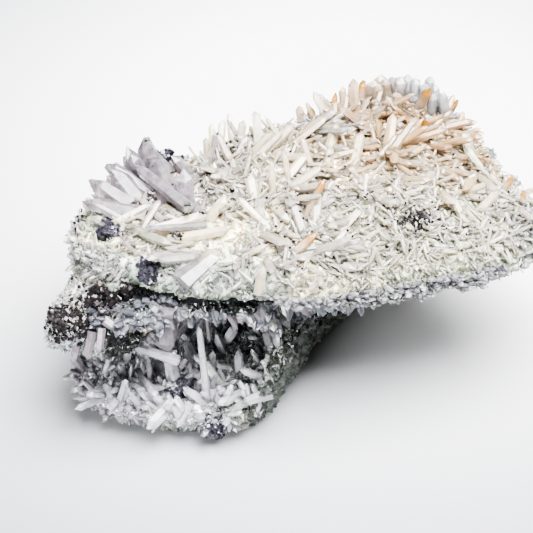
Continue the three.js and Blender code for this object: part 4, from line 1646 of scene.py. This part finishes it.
@dataclass
class FineDruse:
    """Points of quartz about a millimetre high that cover a skin.

    Attributes:
        plan: The plan's place in the frame.
        name: The piece's name.
        cover: Points per square millimetre, given for each face of the skin.
        tint: Gives their colour at each place.
        box: The specimen's lowest and highest corners in the plan.
        seed: Seed of its random numbers.
        width: Least and greatest width, in millimetres.
        coarse: Gives how much wider they are at each place for their height, where that changes.
    """

    plan: Plan
    name: str
    cover: Callable[[Skin], Array]
    tint: Callable[[Array], Array]
    box: tuple[Array, Array]
    seed: int
    width: tuple[float, float] = (0.8, 2.1)
    coarse: Optional[Callable[[Array], Array]] = None

    def build(self, skin: Skin) -> bpy.types.Object:
        """Builds the points on a skin.

        Args:
            skin: The skin.

        Returns:
            The points as one piece.
        """
        rng = np.random.default_rng(self.seed)
        spots, outward = skin.scatter(rng, self.cover(skin))
        count = len(spots)
        widths = rng.uniform(*self.width, count)
        lengths = widths * rng.uniform(0.4, 1.1, count)
        if self.coarse:
            widths *= self.coarse(spots)
        colours = self.tint(spots) * rng.normal(1, 0.07, (count, 1))
        roots = np.column_stack([colours * 0.9, np.full(count, 0.1)])
        tips = np.column_stack([colours, np.full(count, 0.35)])
        axes = turned_from(outward, rng, 0, 60)
        crystals = Crystals(
            spots - outward * 0.3, axes, lengths, widths, np.clip(roots, 0, 1), np.clip(tips, 0, 1)
        )
        shape = Shape()
        held_in(crystals, *self.box).points(shape, rng)
        return shape.build(self.name, self.plan, QUARTZ)


def plate_cover(skin: Skin) -> Array:
    """Gives how many fine points stand on each square millimetre of the plate's crust."""
    flat = skin.outward[:, 2] > 0.8
    rim = ~flat & (skin.middles[:, 0] > 0) & (skin.middles[:, 2] < 43)
    return np.where(flat, 0.45 - 0.25 * finer(skin.middles), np.where(rim, 0.35, 0.7))


def rock_cover(skin: Skin) -> Array:
    """Gives the same for the bare rock: most on the shoulder and foot, least beneath and behind."""
    x, y, z = skin.middles.T
    lined = in_hollow(skin.middles, skin.outward) & (y > 18)
    covered = on_plate(skin.middles, skin.outward) | lined
    left = (x < -36) & (y < 36) & (z > 22)
    foot = (z < 36) & (y < 60) & (z > 0.6)
    slot = (x > -46) & (x < 4) & (y < 26) & (z >= 36)
    return np.where(covered, 0.0, np.where(left | slot, 1.3, np.where(foot, 1.0, 0.15)))


def rock_coarse(spots: Array) -> Array:
    """Gives how much wider the rock's points are: most on the foot's right wall."""
    wall = smoothstep(spots[:, 0], -14, -6) * (1 - smoothstep(spots[:, 2], 30, 36))
    return 1 + 0.9 * wall - 0.3 * shoulder(spots)


def rock_tint(spots: Array) -> Array:
    """Gives the colour of the fine points on the bare rock: whitish with green and grey patches, and
    painted shade.
    """
    tints = np.tile((Tint.MILK.rgb + Tint.COOL_GREY.rgb) * 0.37, (len(spots), 1))
    green = smoothstep(noise_field(spots, 6.0, 41.0, 2), -0.1, 0.3)
    blend(tints, Tint.PALE_GREEN.rgb, 0.8 * green)
    dark = smoothstep(noise_field(spots, 4.0, 42.0, 2), 0.05, 0.4)
    blend(tints, Tint.CHLORITE.rgb, 0.8 * dark)
    x, y, z = spots.T
    pale = shoulder(spots)
    blend(tints, 0.7 * Tint.MILK.rgb, 0.6 * pale)
    blend(tints, Tint.COOL_GREY.rgb, 0.6 * pale * (1 - smoothstep(z, 34, 38)))
    # Dark chlorite on the foot's right wall, darkened further as painted shade under the plate.
    wall = right_wall(spots, 30)
    blend(tints, 0.5 * Tint.CHLORITE.rgb, 0.85 * wall)
    tints *= (1 - 0.7 * wall * smoothstep(z, 14, 26))[:, None]
    front = (1 - smoothstep(y, 8, 20)) * (1 - smoothstep(x, -14, -6)) * (1 - smoothstep(z, 14, 20))
    blend(tints, Tint.PALE_LILAC.rgb, 0.85 * front)
    # Grey on the ledge, darkened as painted shade below the plate's edge.
    ledge = smoothstep(z, 33, 35) * smoothstep(x, -48, -42) * (1 - smoothstep(x, 2, 10)) * (y < 22)
    blend(tints, 0.75 * Tint.SHADOW_GREY.rgb, 0.8 * ledge)
    # Painted shadow: darker along the bottom, where the rock meets the paper.
    blend(tints, Tint.DARK_CHLORITE_AND_SHADE.rgb, 0.6 * (1 - smoothstep(z, 1.5, 4.5)))
    # Near black in the slot and the cavity: painted shade over dark grains.
    dark = np.maximum(in_slot(spots), cavity(spots))
    blend(tints, 0.3 * Tint.DARK_CHLORITE_AND_SHADE.rgb, 0.95 * dark)
    return tints


def boxes(shape: Shape, spots: Array, frames: Array, sizes: Array, rng: np.random.Generator) -> None:
    """Adds small cubes.

    Args:
        shape: The mesh that they are added to.
        spots: Their middles.
        frames: Three directions for each, as rows of a matrix.
        sizes: Their edges.
        rng: The source of random numbers.
    """
    corners = np.array([[x, y, z] for x in (-1, 1) for y in (-1, 1) for z in (-1, 1)]) / 2.0
    stretch = rng.uniform(0.75, 1.15, (len(spots), 1, 3))
    vertices = spots[:, None] + (corners[None] * stretch * sizes[:, None, None]) @ frames
    quads = np.array(
        [[0, 1, 3, 2], [4, 6, 7, 5], [0, 4, 5, 1], [2, 3, 7, 6], [0, 2, 6, 4], [1, 5, 7, 3]]
    )
    tints = np.ones((len(spots), 8, 4))
    shape.add(vertices, quads, np.empty((0, 3), dtype=int), tints, vertices)


def frames_about(outward: Array, rng: np.random.Generator) -> Array:
    """Gives turned sets of three square directions, one for each outward direction."""
    first = unit(outward + rng.normal(0, 0.5, outward.shape))
    second = unit(np.cross(first, unit(rng.normal(size=outward.shape))))
    return np.stack([second, np.cross(first, second), first], axis=1)


class Ground(Enum):
    """What the small crystals about an ore cluster stand on."""

    PLATE = auto()
    HOLLOW = auto()
    ROCK = auto()


@dataclass(frozen=True)
class OreCluster:
    """Crystals of an ore mineral, grown together, with small ones seated on and around them.

    Attributes:
        node: The frame's node that it stands for.
        finish: Its finish.
        small: Number of small crystals on the large ones.
        around: Number of small crystals about it.
        reach: How far they spread, in millimetres.
        seed: Seed of its random numbers.
        ground: What they stand on.
        press: Share of its depth from front to back that is left.
        aside: How far the middle of the small crystals about it lies from its own.
    """

    node: str
    finish: OreFinish
    small: int
    around: int
    reach: float
    seed: int
    ground: Ground = Ground.PLATE
    press: float = 1.0
    aside: tuple[float, float, float] = (0.0, 0.0, 0.0)

    def build(
        self, source: bpy.types.Object, ground: Skin, plan: Plan, box: tuple[Array, Array]
    ) -> bpy.types.Object:
        """Builds the cluster.

        Args:
            source: The frame's solid.
            ground: The skin on which the small crystals about it stand.
            plan: The plan's place in the frame.
            box: The specimen's lowest and highest corners in the plan.

        Returns:
            The cluster as one piece.
        """
        rng = np.random.default_rng(self.seed)
        core = copied(source, self.node + "_core")
        if self.press < 1:
            back = max(v.co.y for v in core.data.vertices)
            for vertex in core.data.vertices:
                vertex.co.y = back + self.press * (vertex.co.y - back)
        skin = Skin.of(core, plan)
        spots, outward = skin.scatter(rng, np.full(len(skin.areas), self.small / skin.areas.sum()))
        shape = Shape()
        self.seat(shape, spots - outward * 0.1, outward, box, rng)
        middle = skin.middles.mean(axis=0) + self.aside
        gap = np.linalg.norm(ground.middles - middle, axis=1)
        density = np.exp(-((gap / self.reach) ** 2)) * (gap < 2 * self.reach)
        density *= self.around / (density * ground.areas).sum()
        self.seat(shape, *ground.scatter(rng, density), box, rng)
        grains = shape.build(self.node + "_grains", plan, self.finish)
        core.data.materials.append(self.finish.material())
        edge = core.modifiers.new("edge", "BEVEL")
        edge.width = WORN * MM
        edge.limit_method = "ANGLE"
        return joined(self.node + "_crystals", baked(core), grains)

    def seat(
        self,
        shape: Shape,
        spots: Array,
        outward: Array,
        box: tuple[Array, Array],
        rng: np.random.Generator,
    ) -> None:
        """Adds small crystals at places, apart from those that would stand out of a box.

        Args:
            shape: The mesh that they are added to.
            spots: The places.
            outward: The outward directions there.
            box: The box's lowest and highest corners in the plan.
            rng: The source of random numbers.
        """
        edges = rng.uniform(*self.finish.edges, len(spots))
        low, high = box
        inside = ((spots > low + edges[:, None]) & (spots < high - edges[:, None])).all(axis=1)
        spots, outward, edges = spots[inside], outward[inside], edges[inside]
        boxes(shape, spots, frames_about(outward, rng), edges, rng)


ORE_CLUSTERS = (
    OreCluster("galena_front", GALENA, 260, 90, 2.8, 50),
    OreCluster("galena_left", GALENA, 220, 60, 2.8, 51),
    OreCluster("galena_back_left", GALENA, 160, 130, 4.5, 52),
    OreCluster("galena_back_right", GALENA, 120, 50, 3.0, 53),
    OreCluster("galena_right", GALENA, 140, 50, 3.0, 54),
    OreCluster("galena_hollow", GALENA, 120, 160, 3.6, 55, Ground.HOLLOW),
    OreCluster("galena_foot", GALENA, 420, 320, 5.0, 56, Ground.ROCK, press=0.55),
    OreCluster(
        "sphalerite_shoulder", SPHALERITE, 200, 760, 6.0, 70, Ground.ROCK, aside=(-5.0, -4.0, -3.0)
    ),
    OreCluster(
        "sphalerite_edge", SPHALERITE, 120, 220, 4.0, 71, Ground.ROCK, aside=(-3.0, -1.0, 1.5)
    ),
)
# Clusters that no needle crosses, how far the middle of the free ground lies from theirs, and
# how large the ground is.
FREE_ORES = (
    ("galena_front", (-3.0, -2.0), 0.9),
    ("galena_left", (-2.0, -2.0), 0.65),
    ("galena_back_left", (0, 0), 1.0),
)


def ore_ball(
    piece: bpy.types.Object, plan: Plan, aside: tuple[float, float], share: float
) -> tuple[Array, float]:
    """Gives the middle and radius of the free ground about an ore cluster.

    Args:
        piece: The cluster.
        plan: The plan's place in the frame.
        aside: How far the ground's middle lies from the cluster's, in x and y.
        share: The share of the whole ground that is left free.

    Returns:
        The middle in the plan and the radius, in millimetres.
    """
    corners = plan.from_metres(np.array([piece.matrix_world @ Vector(c) for c in piece.bound_box]))
    low, high = corners.min(axis=0), corners.max(axis=0)
    radius = 0.45 * float((high - low)[:2].sum()) / 2 + 1.5
    return (low + high) / 2 + (*aside, 0), radius * share


@dataclass(frozen=True)
class SpeckPatch:
    """A patch of black specks on the needles: its middle, its reach and how many there are."""

    x: float
    y: float
    reach: tuple[float, float]
    count: int


SPECK_PATCHES = (
    SpeckPatch(43, 41, (2.0, 2.6), 150),
    SpeckPatch(40, 41, (4.0, 3.0), 24),
    SpeckPatch(-10, 79, (2.0, 1.4), 12),
    SpeckPatch(-26, 33, (1.0, 0.8), 36),
    SpeckPatch(-22, 42, (1.9, 0.5), 24),
    SpeckPatch(-56, 46, (0.8, 1.6), 36),
    SpeckPatch(30, 53, (10.0, 6.0), 40),
    SpeckPatch(6, 46, (5.0, 4.0), 14),
    SpeckPatch(53, 42, (4.0, 7.0), 16),
    SpeckPatch(21, 28, (12.0, 8.0), 14),
    SpeckPatch(20, 60, (30.0, 28.0), 60),
    SpeckPatch(70, 55, (6.0, 10.0), 12),
    SpeckPatch(54, 78, (5.0, 5.0), 8),
)


@dataclass
class Specks:
    """Black specks of sphalerite on the needles.

    Attributes:
        plan: The plan's place in the frame.
        sizes: Least and greatest edge, in millimetres.
    """

    plan: Plan
    sizes: tuple[float, float] = (0.3, 0.75)

    def build(self, tree: BVHTree) -> bpy.types.Object:
        """Builds the specks.

        Args:
            tree: The needles and crust, as placed in the frame.

        Returns:
            The specks as one piece.
        """
        rng = np.random.default_rng(5)
        spots, outward = [], []
        for patch in SPECK_PATCHES:
            for _ in range(patch.count):
                place = rng.normal(0, 1, 2) * patch.reach + (patch.x, patch.y)
                start = Vector(self.plan.to_frame(np.array([*place, ABOVE_ALL])))
                hit, normal, _, _ = tree.ray_cast(start, DOWN)
                if hit is None or hit.z < PLATE_BOTTOM * MM:
                    continue
                spots.append(self.plan.from_metres(np.array(hit)))
                outward.append(np.array(normal))
        spots, outward = np.array(spots), np.array(outward)
        shape = Shape()
        edges = rng.uniform(*self.sizes, len(spots))
        boxes(shape, spots + outward * 0.1, frames_about(outward, rng), edges, rng)
        return shape.build("sphalerite_specks", self.plan, SPHALERITE)


LIT_POINT = Vector((0, 0, 0.03))  # what the panel lights point at, in the frame's metres


@dataclass(frozen=True)
class Panel:
    """A square panel light that shines at the specimen.

    Attributes:
        name: Its name.
        place: Its place in the frame, in metres.
        size: Its edge, in metres.
        watts: Its power.
    """

    name: str
    place: tuple[float, float, float]
    size: float
    watts: float

    def hang(self) -> None:
        """Hangs the panel."""
        light = bpy.data.lights.new(self.name, "AREA")
        light.shape = "SQUARE"
        light.size = self.size
        light.energy = self.watts
        made = add_object(self.name, light)
        made.location = self.place
        aim = LIT_POINT - Vector(self.place)
        made.rotation_euler = aim.to_track_quat("-Z", "Y").to_euler()


PANELS = (
    Panel("key_light", (0.28, 0.05, 1.08), 1.05, 70.0),
    Panel("side_light", (-0.45, -0.7, 0.19), 0.33, 11.0),
)


@dataclass
class Studio:
    """The studio: seamless paper, soft light from above and behind, and the camera.

    Attributes:
        plan: The plan's place in the frame.
        aim: Where the camera looks, in plan millimetres.
        distance: Of the camera from there, in millimetres.
        elevation: Of the camera, in degrees.
        lens: The camera's lens, in millimetres.
        exposure: Stops that the picture is lifted by.
        room: Strength of the room's even light.
    """

    plan: Plan
    aim: tuple[float, float, float] = (0.0, 49.0, 25.0)
    distance: float = 400.0
    elevation: float = 40.0
    lens: float = 87.27
    exposure: float = 0.5
    room: float = 0.08

    def build(self) -> None:
        """Builds the paper, the lights and the camera."""
        self.paper()
        self.lights()
        self.camera()

    def paper(self) -> None:
        """Lays the paper."""
        mesh = bpy.data.meshes.new("studio_paper")
        edge = 6.0
        corners = [(-edge, -edge, 0), (edge, -edge, 0), (edge, edge, 0), (-edge, edge, 0)]
        mesh.from_pydata(corners, [], [(0, 1, 2, 3)])
        mesh.materials.append(PAPER.material())
        add_object("studio_paper", mesh)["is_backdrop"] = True

    def lights(self) -> None:
        """Hangs the panels, and sets the light of the room and the picture's tone."""
        for panel in PANELS:
            panel.hang()
        room = bpy.data.worlds.new("room")
        room.use_nodes = True
        back = room.node_tree.nodes["Background"]
        back.inputs["Color"].default_value = (*linear("#F6F7FA"), 1)
        back.inputs["Strength"].default_value = self.room
        bpy.context.scene.world = room
        tone = bpy.context.scene.view_settings
        tone.view_transform = "AgX"
        tone.look = "AgX - High Contrast"
        tone.exposure = self.exposure

    def camera(self) -> None:
        """Sets up the camera."""
        lens = bpy.data.cameras.new("camera")
        lens.lens = self.lens
        lens.sensor_width = 36
        made = add_object("camera", lens)
        tilt = math.radians(self.elevation)
        back = np.array([0, -math.cos(tilt), math.sin(tilt)]) * self.distance
        made.location = Vector(self.plan.to_frame(np.array(self.aim) + back))
        made.rotation_euler = (math.pi / 2 - tilt, 0, 0)
        bpy.context.scene.camera = made


def finished(piece: bpy.types.Object, slot: str, *nodes: str) -> None:
    """Hands a piece to the frame: it rides on the body and stands for nodes, which are hidden.

    Args:
        piece: The piece.
        slot: Not used.
        *nodes: The frame's nodes that it stands for.
    """
    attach(piece, "root")
    if nodes:
        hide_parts(*nodes)
    LOG.info("%s: %d faces", piece.name, len(piece.data.polygons))


def main() -> None:
    """Builds the specimen and the studio."""
    logging.basicConfig(level=logging.INFO, format="%(message)s")
    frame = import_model()
    nodes = frame["nodes"]
    plan = Plan.from_frame()
    low, high = (plan.from_metres(np.array(corner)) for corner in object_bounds())
    # The crystals stay a little inside the solids' box.
    box = (low + [0.2, 0.2, 0.1], high - 0.2)

    rock = HostRock(plan).build(nodes["host_rock"])
    rock_tree = tree_of(nodes["host_rock"])
    ores = [ore_ball(nodes[name], plan, aside, share) for name, aside, share in FREE_ORES]
    crust = Crust(
        plan, "quartz_crust_plate", 2.9, 0.8, on_plate, crust_tint, 6.0, box, 0.9, ores
    ).build(rock, rock_tree)
    lining = Crust(
        plan, "quartz_crust_hollow", 0.9, 0.5, in_hollow, hollow_tint, 9.0, box
    ).build(rock, rock_tree)
    plate_skin = Skin.of(crust, plan).outer(rock, plan, 0.4).calmed()
    hollow_skin = Skin.of(lining, plan).outer(rock, plan, 0.3).calmed()
    rock_skin = Skin.of(rock, plan).calmed(2.5)

    for middle, radius in ores:
        plate_skin.areas[np.linalg.norm(plate_skin.middles - middle, axis=1) < 0.8 * radius] = 0
    needles = PlateDruse(plan, box, rock_tree, tree_of(crust), ores).build(plate_skin)
    crystals = HollowDruse(plan, box).build(hollow_skin, rock_skin)
    fine = FineDruse(
        plan, "quartz_points_plate", plate_cover, crust_tint, box, 31, coarse=lambda p: 1 + 0.5 * lip(p)
    ).build(plate_skin)
    lining_points = FineDruse(
        plan, "quartz_points_hollow", lambda s: np.full(len(s.areas), 1.2), hollow_tint, box, 32
    ).build(hollow_skin)
    rock_points = FineDruse(
        plan, "quartz_points_rock", rock_cover, rock_tint, box, 33, coarse=rock_coarse
    ).build(rock_skin)

    finished(rock, "host_rock", "host_rock")
    finished(crust, "quartz", "quartz_druse_top")
    finished(lining, "quartz", "quartz_druse_hollow")
    for piece in (needles, crystals, fine, lining_points, rock_points):
        finished(piece, "quartz")

    specks = Specks(plan).build(tree_of(needles, fine, crust))
    finished(specks, "sphalerite")
    grounds = {Ground.PLATE: plate_skin, Ground.HOLLOW: hollow_skin, Ground.ROCK: rock_skin}
    for cluster in ORE_CLUSTERS:
        piece = cluster.build(nodes[cluster.node], grounds[cluster.ground], plan, box)
        finished(piece, cluster.finish.slot, cluster.node)

    Studio(plan).build()


if __name__ == "__main__":
    main()
